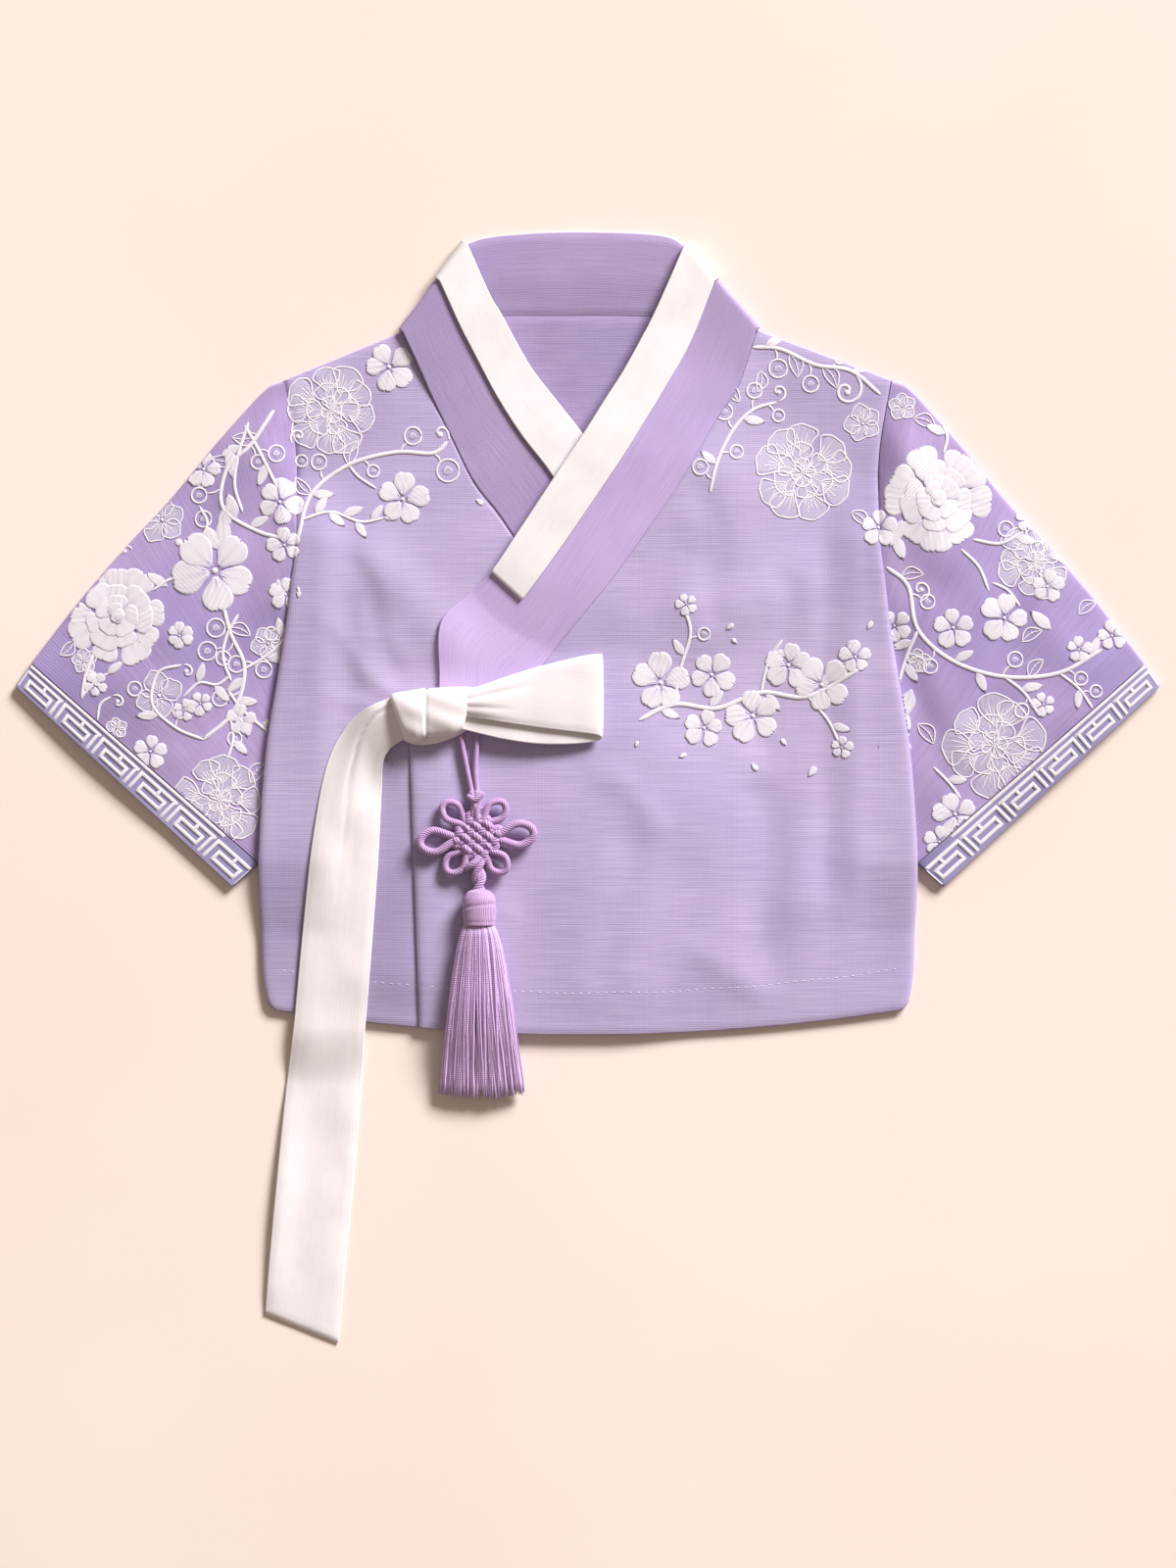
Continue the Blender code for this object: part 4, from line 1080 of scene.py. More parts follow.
def lofted(table, count, sides, slant=0.0, squareness=2.6):
    """A closed rounded body through a table's sections: points, faces and UVs in millimetres."""
    rows = eased(np.arange(len(table)), table, np.linspace(0.0, len(table) - 1.0, count))
    angle = np.linspace(0.0, math.tau, sides, endpoint=False)[None, :]
    c, s = np.cos(angle), np.sin(angle)
    swell = (np.abs(c) ** squareness + np.abs(s) ** squareness) ** (-1.0 / squareness)
    y = (rows[:, 1:2] + rows[:, 2:3]) / 2.0 + (rows[:, 2:3] - rows[:, 1:2]) / 2.0 * c * swell
    z = (rows[:, 3:4] + rows[:, 4:5]) / 2.0 + (rows[:, 4:5] - rows[:, 3:4]) / 2.0 * s * swell
    lean = slant * (blend(-82.0, -96.0, rows[:, :1]) - 0.62 * blend(-71.0, -63.0, rows[:, :1]))
    x = rows[:, :1] + 0.0 * y - lean * (y - 161.0)
    points = np.dstack([x, y, z])
    ends = np.stack([points[0].mean(axis=0), points[-1].mean(axis=0)])
    uvs = np.stack([x, (angle / math.tau * 60.0) + 0.0 * x], axis=2).reshape(-1, 2)
    uvs = np.vstack([uvs, uvs[:1], uvs[-1:]])
    return np.vstack([points.reshape(-1, 3), ends]), ring_faces(count, sides), uvs


knot_points, knot_faces, knot_uvs = lofted(KNOT, 110, 56, KNOT_SLANT)
x, y, z = knot_points.T
drag = 0.21 * np.sin((y - 150.0) * 0.55 + x * 0.22)       # the wraps' own slack, drawn slantwise
knot_points[:, 2] += drag * blend(8.0, 15.0, z) * blend(-98.0, -90.0, x)
turn_points, turn_faces, turn_uvs = lofted(UNDER_TURN, 50, 36)
# painted shade: a thin dark line down the groove between the two wraps
painted_shade_between_wraps = 0.42 * np.exp(-((x + 82.1) / 0.55) ** 2)
knot = build(
    "tie_knot_ribbon", np.vstack([knot_points, turn_points]),
    knot_faces + [tuple(k + len(knot_points) for k in f) for f in turn_faces],
    np.vstack([knot_uvs, turn_uvs]) * MM,
    np.concatenate([painted_shade_between_wraps, np.zeros(len(turn_points))]))

for piece, solid in ((tail, "tie_tail"), (loop, "tie_loop"), (knot, "tie_knot")):
    piece.data.materials.append(tie_cotton)
    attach(piece, "root")
    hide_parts(solid)


# ------------------------------------------------------------------------------- pendant
# The pendant (norigae) hangs from the tie by a loop of braided silk cord: a flat woven
# knot with six loops, a short twisted neck, a wrapped tassel head and a silk fringe.

PENDANT_X, PENDANT_Y = -56.3, 100.5
STRAND = 2.8
CORD_CLEAR, KNOT_RISE = 0.15, 1.4          # above the cloth, and up on to the woven knot


def tube(path, radius, sides=12):
    """A round tube's points, faces and UVs (around, along) for a path, ends closed."""
    path = np.asarray(path, float)
    count = len(path)
    radius = np.broadcast_to(np.asarray(radius, float), (count,))
    ahead = np.gradient(path, axis=0)
    ahead /= np.maximum(np.linalg.norm(ahead, axis=1, keepdims=True), 1e-9)
    side = np.cross(ahead, (0.0, 0.0, 1.0))
    upright = np.linalg.norm(side, axis=1) < 1e-3
    side[upright] = (1.0, 0.0, 0.0)
    side /= np.linalg.norm(side, axis=1, keepdims=True)
    up = np.cross(side, ahead)
    angle = np.linspace(0.0, math.tau, sides, endpoint=False)[None, :]
    c, s = np.cos(angle)[..., None], np.sin(angle)[..., None]
    rings = path[:, None, :] + radius[:, None, None] * (c * side[:, None, :] + s * up[:, None, :])
    run = np.concatenate([[0.0], np.cumsum(np.linalg.norm(np.diff(path, axis=0), axis=1))])
    uvs = np.stack([angle / math.tau * 10.0 + 0.0 * run[:, None], run[:, None] + 0.0 * angle], axis=2)
    points = np.vstack([rings.reshape(-1, 3), path[0] - ahead[0] * radius[0] * 0.5,
                        path[-1] + ahead[-1] * radius[-1] * 0.5])
    uvs = np.vstack([uvs.reshape(-1, 2), uvs[0, :1], uvs[-1, :1]])
    return points, ring_faces(count, sides), uvs


def gather(name, parts, material, marks=None):
    """One object from several (points, faces, uvs)."""
    faces, count = [], 0
    for points, some, _ in parts:
        faces += [tuple(int(k) + count for k in f) for f in some]
        count += len(points)
    made = build(name, np.vstack([p for p, _, _ in parts]), faces,
                 np.vstack([u for _, _, u in parts]) * MM, marks)
    made.data.materials.append(material)
    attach(made, "root")
    return made


def through(places, count):
    """A smooth path through a few places."""
    return eased(np.arange(len(places)), places, np.linspace(0.0, len(places) - 1.0, count))


# Silk cord, braided: mauve, with fine slanting plaits that catch the light softly. The
# flat wrapping and the loose floss are the same silk, with the plaits turned.
def silk_cord_finish(name, dark, pale, plait, shine):
    made, tree, shader = new_finish(name, Roughness=shine, Specular_IOR_Level=0.35, Sheen_Weight=0.25)
    uv = node(tree, "ShaderNodeTexCoord")
    turn = node(tree, "ShaderNodeMapping", Vector=(uv, "UV"), Rotation=(0.0, 0.0, plait))
    # a plait every 1 mm, as a braid of this thickness has
    strand = node(tree, "ShaderNodeTexWave", {"bands_direction": "Y"}, Vector=(turn, 0),
                  Scale=300.0, Distortion=0.8, Detail=1.0)
    uneven = node(tree, "ShaderNodeTexNoise", Vector=(uv, "UV"), Scale=260.0, Detail=2.0)
    tone = node(tree, "ShaderNodeMath", {"operation": "MULTIPLY_ADD"}, _0=(uneven, "Fac"),
                _1=0.7, _2=(strand, "Fac"))
    ramp = node(tree, "ShaderNodeValToRGB", Fac=(tone, 0))
    set_stops(ramp, (0.2, dark), (1.0, pale))
    tree.links.new(darker_where_marked(tree, (ramp, "Color")), shader.inputs["Base Color"])
    bump = node(tree, "ShaderNodeBump", Height=(strand, "Fac"), Strength=0.7, Distance=0.0003)
    tree.links.new(bump.outputs["Normal"], shader.inputs["Normal"])
    return made


braided_silk = silk_cord_finish("mauve silk cord, braided", "#8D6299", "#CFABD8", plait=0.7,
                                shine=0.55)

# The first strand runs on, hidden, through the knot and the neck to the tassel's core
HIDDEN_RUN = (
    (-57.4, 111.5, 7.6), (-56.6, 104.0, 7.2), (-56.0, 94.0, 7.4), (-55.6, 86.0, 9.4), (-55.3, 74.0, 10.8),
    (-55.2, 62.0, 11.2), (-55.1, 46.0, 10.4), (-54.9, 28.0, 9.8), (-54.8, 12.0, 9.3),
)
strands = []
for name, places in (
    ("pendant_strand_1",
     ((-65.0, 155.0), (-63.8, 146.0), (-61.4, 134.0), (-59.0, 122.5), (-58.2, 114.4))),
    ("pendant_strand_2",
     ((-56.4, 155.0), (-56.8, 146.0), (-57.4, 134.0), (-56.2, 122.5), (-54.8, 114.4))),
):
    flat = through(places, 34)
    high = on_outer(flat[:, 0], flat[:, 1]) + STRAND / 2.0 + CORD_CLEAR
    high = high + KNOT_RISE * blend(128.0, 116.0, flat[:, 1])
    path = np.column_stack([flat, high])
    if name == "pendant_strand_1":
        path = np.vstack([path, through(HIDDEN_RUN, 60)])
    made = gather(name + "_cord", [tube(path, STRAND / 2.0, 14)], braided_silk)
    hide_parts(name)
    strands.append((made, path))

base = float(on_outer(np.array([PENDANT_X]), np.array([PENDANT_Y]))[0])
middle_z = base + 3.5                      # half the woven knot's thickness over the cloth
WEAVE_TURN = math.radians(-40.0)
PITCH, RUN, RUNS, WEAVE_HALF = 4.1, 4.0, 5, 8.6


def woven(parity, high):
    """A serpentine of runs, over and under the ones that cross it, with turns at its rims."""
    path = []
    for k in range(RUNS):
        across = (k - (RUNS - 1) / 2.0) * PITCH
        way = -1.0 if k % 2 else 1.0
        for s in way * np.linspace(-WEAVE_HALF, WEAVE_HALF, 40):
            wave = math.tanh(1.3 * math.cos(math.pi * (s / PITCH + k + parity)))
            fade = 1.0 if abs(s) < WEAVE_HALF - 1.0 else 0.4
            path.append((s, across, high + 1.1 * wave * fade))
        if k < RUNS - 1:
            for angle in np.radians((-60.0, -30.0, 0.0, 30.0, 60.0)):
                path.append((way * (WEAVE_HALF + 1.9 * math.cos(angle)),
                             across + PITCH / 2.0 * (1.0 + math.sin(angle)), 0.0))
    return np.array(path)


def turned_in(path, angle):
    """A path about the woven knot's middle, turned and put in its place."""
    c, s = math.cos(angle), math.sin(angle)
    return np.column_stack([
        PENDANT_X + path[:, 0] * c - path[:, 1] * s,
        PENDANT_Y + path[:, 0] * s + path[:, 1] * c,
        middle_z + path[:, 2],
    ])


lattice = [
    tube(turned_in(woven(parity=0.0, high=0.35), WEAVE_TURN), RUN / 2.0),
    tube(turned_in(woven(parity=1.0, high=-0.1), WEAVE_TURN + math.pi / 2.0), RUN / 2.0),
]
knot_wraps = [
    through(((-59.4, 123.6, 0.0), (-58.0, 118.4, 0.9), (-56.6, 113.0, 1.2), (-55.6, 108.0, 0.6)), 24),
    through(((-56.6, 123.6, 0.0), (-57.6, 118.4, 0.4), (-58.2, 113.0, 0.8), (-58.6, 108.4, 0.4)), 24),
    through(((-61.0, 121.4, 0.2), (-57.6, 119.6, 2.4), (-54.2, 122.6, 1.4), (-54.8, 119.4, 0.6),
             (-56.4, 113.6, 1.6), (-57.0, 109.0, 0.6)), 36),
    through(((-62.4, 84.6, 0.2), (-58.6, 86.8, 1.8), (-54.6, 90.0, 0.6)), 20),
]
for path, radius in zip(knot_wraps, (1.5, 1.5, 1.5, 1.9)):
    path[:, 2] += middle_z + 0.4
    lattice.append(tube(path, radius))
pendant_body = gather("pendant_weave", lattice, braided_silk)
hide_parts("pendant_knot")

EARS = (
    # x, y of the loop's middle, half length, half width, direction in degrees, cord's radius
    (-67.8, 112.0, 7.6, 4.8, 136.0, 1.75),
    (-48.2, 112.6, 7.4, 4.9, 42.0, 1.75),
    (-76.0, 98.6, 9.4, 5.8, 188.0, 2.05),
    (-37.4, 101.6, 9.8, 5.9, 8.0, 2.1),
    (-66.4, 88.6, 7.4, 5.0, 226.0, 1.8),
    (-47.0, 88.8, 7.2, 4.9, 312.0, 1.75),
)
hung_pieces = [pendant_body]
for k, (x0, y0, length, width, heading, cord_radius) in enumerate(EARS):
    way = math.radians(heading)
    turn = np.linspace(-2.62, 2.62, 60)
    narrow = 0.35 + 0.65 * blend(-1.0, 0.4, np.cos(turn))
    ahead, aside = length * np.cos(turn), width * np.sin(turn) * narrow
    path = np.column_stack([
        x0 + ahead * math.cos(way) - aside * math.sin(way),
        y0 + ahead * math.sin(way) + aside * math.cos(way),
        middle_z + 0.5 * np.sin(turn) - 0.3 * np.cos(turn),
    ])
    ear = gather(f"pendant_ear_{k + 1}_loop", [tube(path, cord_radius)], braided_silk)
    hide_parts(f"pendant_ear_{k + 1}")
    hung_pieces.append(ear)

# The neck: two strands twisted together between the woven knot and the tassel
NECK_TOP, NECK_LONG, NECK_RADIUS, NECK_TURNS = 89.6, 16.6, 1.9, 0.9
twisted = []
steps = np.linspace(0.0, 1.0, 40)
for phase in (0.0, math.pi):
    angle = phase + steps * math.tau * NECK_TURNS
    twisted.append(tube(np.column_stack([
        -55.8 + 0.4 * steps + 2.0 * np.cos(angle), NECK_TOP - NECK_LONG * steps,
        middle_z + 0.1 + 1.1 * np.sin(angle)]), NECK_RADIUS))
neck = gather("pendant_neck_twist", twisted, braided_silk)
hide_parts("pendant_neck")
hung_pieces.append(neck)


# -------------------------------------------------------------------------------- tassel
# A skein of mauve silk floss, folded over the cord's end: its head is bound round with a
# flat band of the same silk, and its threads hang loose below in locks, cut nearly level.

TASSEL_X = -55.2
HEAD = (
    # up, half width, low z, thickness
    (74.0, 2.2, 9.2, 4.0),
    (73.6, 4.2, 7.8, 6.6),
    (72.6, 5.9, 6.9, 8.5),
    (70.8, 7.3, 6.3, 9.8),
    (68.4, 8.2, 5.9, 10.8),
    (64.0, 8.6, 5.8, 11.1),
    (58.6, 8.3, 5.9, 10.9),
    (57.0, 8.0, 6.0, 10.6),
    (55.8, 7.8, 6.2, 10.3),
    (55.4, 6.6, 6.8, 9.2),
)
SKIRT = (
    # up, x, half width, low z, thickness
    (56.2, -55.3, 7.2, 6.4, 8.8),
    (50.0, -55.2, 10.0, 5.9, 9.6),
    (44.0, -55.1, 11.6, 5.8, 9.6),
    (32.0, -54.9, 13.8, 5.7, 9.0),
    (16.0, -54.7, 16.1, 5.8, 8.1),
    (0.0, -54.4, 18.1, 4.6, 7.1),
    (-12.0, -54.2, 19.8, 2.2, 6.7),
    (-24.0, -54.1, 21.3, 0.7, 6.1),
    (-33.0, -54.0, 22.2, 0.2, 5.4),
)

rings, sides = 64, 48
rows = eased(np.arange(len(HEAD)), HEAD, np.linspace(0.0, len(HEAD) - 1.0, rings))
angle = np.linspace(0.0, math.tau, sides + 1)[None, :]
slant = rows[:, :1] - 65.4 - 1.1 * np.cos(angle - 0.5)
wrap = 1.0 - 0.055 * np.exp(-(slant / 0.55) ** 2) + 0.02 * blend(0.0, 2.0, slant)
wrap = wrap - 0.02 * np.exp(-((rows[:, :1] - 57.6) / 0.5) ** 2)
head_points = np.dstack([
    TASSEL_X + rows[:, 1:2] * np.cos(angle) * wrap,
    rows[:, :1] + 0.0 * angle,
    rows[:, 2:3] + rows[:, 3:4] / 2.0 * (1.0 + np.sin(angle) * wrap),
])
head_uv = np.stack([angle * 8.6 + 0.0 * rows[:, :1], rows[:, :1] + 0.0 * angle], axis=2)
head_points = head_points.reshape(-1, 3)
ends = np.stack([head_points[:sides].mean(axis=0), head_points[-sides:].mean(axis=0)])
whole = len(head_points)
faces = quads(rings, sides + 1).tolist()
faces += [(whole, k + 1, k) for k in range(sides)]
faces += [(whole + 1, whole - sides - 1 + k, whole - sides + k) for k in range(sides)]
head_uv = np.vstack([head_uv.reshape(-1, 2), head_uv[0, :1], head_uv[-1, :1]])
wrapped_silk = silk_cord_finish("mauve silk, flat wrapped", "#A57BB0", "#D6B2DC", plait=math.pi / 2.0,
                                shine=0.5)
head = gather("tassel_head_wrap", [(np.vstack([head_points, ends]), faces, head_uv)], wrapped_silk)
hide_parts("tassel_head")
hung_pieces.append(head)

THREADS, TOP_THREADS = 330, 200            # in all, and those that lie on top
SKIRT_TOP, SKIRT_CUT = 56.6, -32.6
random.seed(7)
skirt_rows = np.array(SKIRT)[::-1]
threads, tones_and_painted_shade = [], []
drops = np.linspace(0.0, 1.0, 15)
for k in range(THREADS):
    layer = 0.30 + 0.70 * math.sqrt(random.random())
    angle = random.uniform(0.0, math.tau)
    if k < TOP_THREADS:
        angle, layer = random.uniform(0.02, math.pi - 0.02), random.uniform(0.86, 1.0)
    end = SKIRT_CUT + 5.5 * random.random() ** 2 + 2.2 * (math.cos(angle) ** 2)
    sway, phase = random.uniform(0.2, 0.9), random.uniform(0.0, 6.3)
    drift = random.gauss(0.0, 0.035)
    up = SKIRT_TOP + (end - SKIRT_TOP) * drops
    x, half, low, thick = (np.interp(up, skirt_rows[:, 0], skirt_rows[:, c]) for c in (1, 2, 3, 4))
    spread = angle + drift * drops * 4.0
    path = np.column_stack([
        x + half * layer * np.cos(spread) + sway * drops * np.sin(drops * 5.0 + phase),
        up,
        low + 0.45 + (thick - 0.9) / 2.0 * (1.0 + layer * np.sin(spread)),
    ])
    taper = np.where(drops > 0.97, 0.26, 0.5 + 0.12 * math.sin(phase))
    threads.append(tube(path, taper, 5))
    lock = 0.5 + 0.5 * math.sin(angle * 23.0) * math.sin(angle * 9.0 + 1.0)
    # each thread's tone is the silk's own, by lock and at random, and those under the top layer get 0.2 of
    # painted shade
    tone = 0.24 * lock + random.uniform(-0.12, 0.20) + (0.20 if layer < 0.8 else 0.0)
    tones_and_painted_shade.append(np.full(len(threads[-1][0]), tone))
floss_silk = silk_cord_finish("mauve silk floss", "#C89CF4", "#FBD6FF", plait=0.25, shine=0.45)
skirt = gather("tassel_fringe", threads, floss_silk, np.concatenate(tones_and_painted_shade))
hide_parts("tassel_skirt")
hung_pieces.append(skirt)

for (strand, path), pieces in zip(strands, (hung_pieces, [pendant_body])):
    path = put(path)


# ---------------------------------------------------------------------------- embroidery
# White floral embroidery over the shoulders and sleeves: peonies and plum blossoms, some
# filled in satin stitch and some only outlined, on curling stems with leaves, buds and
# berries. It is worked in raised stitches that follow the cloth, and stops at its edges.

def surface_of(pieces):
    """A lookup of the cloth's top, from several pieces."""
    points, faces, count = [], [], 0
    for piece in pieces:
        points += [v.co.copy() for v in piece.data.vertices]
        faces += [tuple(k + count for k in p.vertices) for p in piece.data.polygons]
        count = len(points)
    return BVHTree.FromPolygons(points, faces)


shoulder_cloth = surface_of([front_under, front_over, sleeves["right"], sleeves["left"]])
DOWN = Vector((0.0, 0.0, -1.0))
CLOTH_STEP, UNDERARM_Y = 2.4, 240.0


class Needlework(Stitching):
    """Stitches laid on the cloth: x and y in, the cloth's own height found below them."""

    def lay(self, x, y, high, uvs, marks=1.0):
        """Adds a grid of stitches, less those off the cloth or over a step between cloths."""
        place = put(np.stack([x, y, 0.0 * x], axis=-1)).reshape(-1, 3)
        heights = np.full(len(place), np.nan)
        for k, p in enumerate(place):
            hit = shoulder_cloth.ray_cast(Vector((p[0], p[1], 0.05)), DOWN)[0]
            if hit is not None:
                heights[k] = hit.z / MM
        rows, columns = x.shape
        z = heights.reshape(rows, columns) + high
        points = np.stack([x, y, z], axis=-1).reshape(-1, 3)
        faces = quads(rows, columns)
        faces = faces[~np.isnan(points[faces][:, :, 2]).any(axis=1)]
        kept = faces[np.ptp(points[faces][:, :, 2], axis=1) < CLOTH_STEP]
        if len(kept):
            # the strip along the body's side, below the underarm, stays plain
            middle = points[kept].mean(axis=1)
            out = np.abs(middle[:, 0])
            body_edge = eased(SIDE_UP, SIDE_OUT, middle[:, 1])[:, 0] + 0.5
            kept = kept[~((out > SEWN_SIDE) & (out < body_edge) & (middle[:, 1] < UNDERARM_Y))]
        if len(kept) == 0:
            return
        used, back_to = np.unique(kept, return_inverse=True)
        self.points.append(points[used])
        self.uvs.append(uvs.reshape(-1, 2)[used])
        self.marks.append((marks + 0.0 * x).ravel()[used])
        self.faces.append(back_to.reshape(kept.shape) + self.count)
        self.count += len(used)

    def stroke(self, places, width, high=0.34, taper=0.35, tone=1.0):
        """A line of slanting satin stitch through the places."""
        places = np.asarray(places, float)
        rough = eased(np.arange(len(places)), places, np.linspace(0, len(places) - 1.0, 60))
        run = np.concatenate([[0.0], np.cumsum(np.linalg.norm(np.diff(rough, axis=0), axis=1))])
        count = max(5, int(run[-1] / 1.5) + 2)
        s = np.linspace(0.0, run[-1], count)
        line = np.column_stack([np.interp(s, run, rough[:, 0]), np.interp(s, run, rough[:, 1])])
        ahead = np.gradient(line, axis=0)
        ahead /= np.maximum(np.linalg.norm(ahead, axis=1, keepdims=True), 1e-9)
        side = np.column_stack([ahead[:, 1], -ahead[:, 0]])
        ends = np.minimum(blend(0.0, 2.2, s), blend(run[-1], run[-1] - 2.2, s))
        reach = width / 2.0 * (taper + (1.0 - taper) * ends)
        w = np.array([-1.0, -0.82, -0.4, 0.0, 0.4, 0.82, 1.0])
        x = line[:, :1] + side[:, :1] * w * reach[:, None]
        y = line[:, 1:] + side[:, 1:] * w * reach[:, None]
        rise = high * np.array([-0.5, 0.55, 0.93, 1.0, 0.93, 0.55, -0.5])[None, :]
        rise = rise * (0.55 + 0.45 * ends[:, None])
        self.lay(x, y, rise, np.stack([s[:, None] + 0.6 * w * reach[:, None],
                                       w * reach[:, None] + 0.0 * s[:, None]], axis=2),
                 tone * (1.0 - 0.45 * np.abs(w) ** 5)[None, :])

    def petal(self, x, y, way, length, width, high=0.4, notch=0.0, base=0.16, wide=0.62,
              fill=1.0):
        """A petal in satin stitch: threads run out from its base, its edge a lilac line."""
        t = np.array([0.0, 0.04, 0.12, 0.22, 0.34, 0.46, 0.58, 0.70, 0.80, 0.88, 0.94, 0.975, 1.0])[:, None]
        w = np.array([-1.0, -0.93, -0.8, -0.6, -0.4, -0.2, 0.0, 0.2, 0.4, 0.6, 0.8, 0.93, 1.0])[None, :]
        swell = np.where(t < wide, np.sin(np.pi / 2.0 * np.minimum(t / wide, 1.0)) ** 1.25,
                         np.sqrt(np.maximum(1.0 - ((t - wide) / (1.02 - wide)) ** 2, 0.0)))
        half = width / 2.0 * (base * (1.0 - t) + (1.0 - base) * swell)
        teeth = notch * (np.exp(-(w / 0.16) ** 2) + 0.5 * np.exp(-((np.abs(w) - 0.62) / 0.14) ** 2))
        along = length * t * (1.0 - teeth * t ** 3)
        across = w * half
        c, s = math.cos(way), math.sin(way)
        rim = np.minimum((1.0 - np.abs(w)) * np.maximum(half, 0.3), (1.0 - t) * length)
        rim = np.minimum(rim, t * length)
        edge = np.clip(rim / 0.5, 0.0, 1.0)
        rise = high * (0.7 + 0.3 * np.cos(w * 1.4)) * edge ** 0.6 - 0.14 * (edge <= 0.0)
        rise = rise - 0.2 * high * np.exp(-((t - 0.08) / 0.12) ** 2)
        ribs = 0.5 + 0.5 * np.cos(w * 9.0)
        shade = 1.0 - 0.55 * ribs * np.exp(-(t / 0.30) ** 2) - 0.10 * ribs
        marks = fill * shade * (0.25 + 0.75 * np.clip((rim - 0.12) / 0.45, 0.0, 1.0))
        self.lay(x + along * c - across * s, y + along * s + across * c, rise,
                 np.stack([across + 0.0 * along, along + 0.0 * across], axis=2), marks)

    def petal_line(self, x, y, way, length, width, line=0.8, veins=3, high=0.3, fan=0.85):
        """A petal drawn in outline over a thin fill, with fine stitches up from its base."""
        self.petal(x, y, way, length * 0.98, width * 0.94, 0.10, 0.0, 0.1, 0.5 ** (1.0 / fan) + 0.1, 0.42)
        t = np.array([0.0, 0.12, 0.28, 0.45, 0.62, 0.78, 0.90, 0.97, 1.0])
        half = width / 2.0 * np.sin(np.pi * t ** fan) ** 0.75
        c, s = math.cos(way), math.sin(way)
        along = np.concatenate([t, t[-2::-1]]) * length
        across = np.concatenate([half, -half[-2::-1]])
        across = across + 0.04 * width * np.sin(along * 1.7 + x)
        self.stroke(np.column_stack([x + along * c - across * s, y + along * s + across * c]),
                    line, high)
        for k in range(veins):
            lean = (k / (veins - 1) - 0.5) * 0.95 * width / length
            start, end = 0.08 * length, (0.62 + 0.14 * (k % 2)) * length
            self.stroke([(x + start * math.cos(way + lean * 0.6), y + start * math.sin(way + lean * 0.6)),
                         (x + end * math.cos(way + lean), y + end * math.sin(way + lean))],
                        line * 0.7, high * 0.7, 0.2)

    def dot(self, x, y, radius, high=0.5):
        """A round knot of thread."""
        r = np.array([0.02, 0.4, 0.75, 0.95, 1.0])[:, None] * radius
        a = np.linspace(0.0, math.tau, 11)[None, ::-1]
        rise = high * np.array([1.0, 0.92, 0.7, 0.3, -0.3])[:, None] + 0.0 * a
        self.lay(x + r * np.cos(a), y + r * np.sin(a), rise, np.stack([r + 0.0 * a, r * a], axis=2))

    def berry(self, x, y, radius):
        """A ring of satin stitch, with a thin fill and a small pleat of thread in it."""
        a = np.linspace(0.0, math.tau * 1.02, 12)
        self.stroke(np.column_stack([x + radius * np.cos(a), y + radius * np.sin(a)]), 1.15, 0.34)
        self.petal(x - radius * 0.5, y, 0.0, radius, radius * 1.1, 0.14, 0.0, 0.5, 0.5, 0.4)
        self.stroke([(x - radius * 0.4, y - radius * 0.2), (x, y + radius * 0.35),
                     (x + radius * 0.4, y - radius * 0.1)], 0.7, 0.25)

    def blossom(self, x, y, radius, turn, filled=True, count=5):
        """A plum blossom: round petals, a small eye and stamens."""
        for k in range(count):
            way = turn + math.tau * k / count + 0.1 * math.sin(3.0 * k + x)
            size = radius * (1.0 + 0.08 * math.sin(5.0 * k + y))
            start = 0.13 * radius
            px, py = x + start * math.cos(way), y + start * math.sin(way)
            if filled:
                self.petal(px, py, way, size * 0.94, size * 0.95, 0.42 + 0.05 * (k % 2), 0.09, 0.14)
            else:
                self.petal_line(px, py, way, size * 0.9, size * 0.95, 0.8, 3)
        self.dot(x, y, 0.08 * radius, 0.6)
        for k in range(7):
            way = turn + 0.3 + math.tau * k / 7
            self.stroke([(x + 0.14 * radius * math.cos(way), y + 0.14 * radius * math.sin(way)),
                         (x + 0.40 * radius * math.cos(way), y + 0.40 * radius * math.sin(way))],
                        0.5, 0.6 if filled else 0.4, 0.5, 0.55 if filled else 1.0)

    def peony(self, x, y, radius, turn, filled=True):
        """A full peony: rings of overlapping petals round a tight heart."""
        rings = ((9, 0.50, 0.50, 0.80), (7, 0.27, 0.42, 0.74), (5, 0.08, 0.36, 0.62))
        if not filled:
            rings = ((9, 0.38, 0.62, 0.66), (6, 0.12, 0.46, 0.50), (4, 0.03, 0.24, 0.26))
        for ring, (count, out, length, width) in enumerate(rings):
            for k in range(count):
                way = turn + math.tau * (k + 0.5 * ring) / count + 0.13 * math.sin(2.3 * k + 1.7 * ring + x)
                size = 1.0 + 0.12 * math.sin(3.1 * k + 2.0 * ring + y)
                px, py = x + out * radius * math.cos(way), y + out * radius * math.sin(way)
                long, wide = length * radius * size, width * radius * size
                if filled:
                    notch = 0.10 if ring == 0 else 0.0
                    self.petal(px, py, way, long, wide, 0.30 + 0.16 * ring, notch, 0.34, 0.72)
                else:
                    self.petal_line(px, py, way, long, wide, 0.95, 5 if ring == 0 else 3, fan=1.7)
        if filled:
            for k, (dx, dy, way, size) in enumerate((
                (-0.22, 0.06, 0.3, 0.36), (0.02, -0.18, 1.3, 0.34), (0.10, 0.16, 3.9, 0.34),
                (-0.10, -0.06, 0.2, 0.28),
            )):
                self.petal(x + dx * radius, y + dy * radius, way + turn, size * radius,
                           1.05 * size * radius, 0.80 + 0.08 * k, 0.0, 0.45, 0.62)
        else:
            for k in range(9):
                way = turn + math.tau * k / 9
                self.stroke([(x, y), (x + 0.2 * radius * math.cos(way), y + 0.2 * radius * math.sin(way))],
                            0.6, 0.4, 0.4)

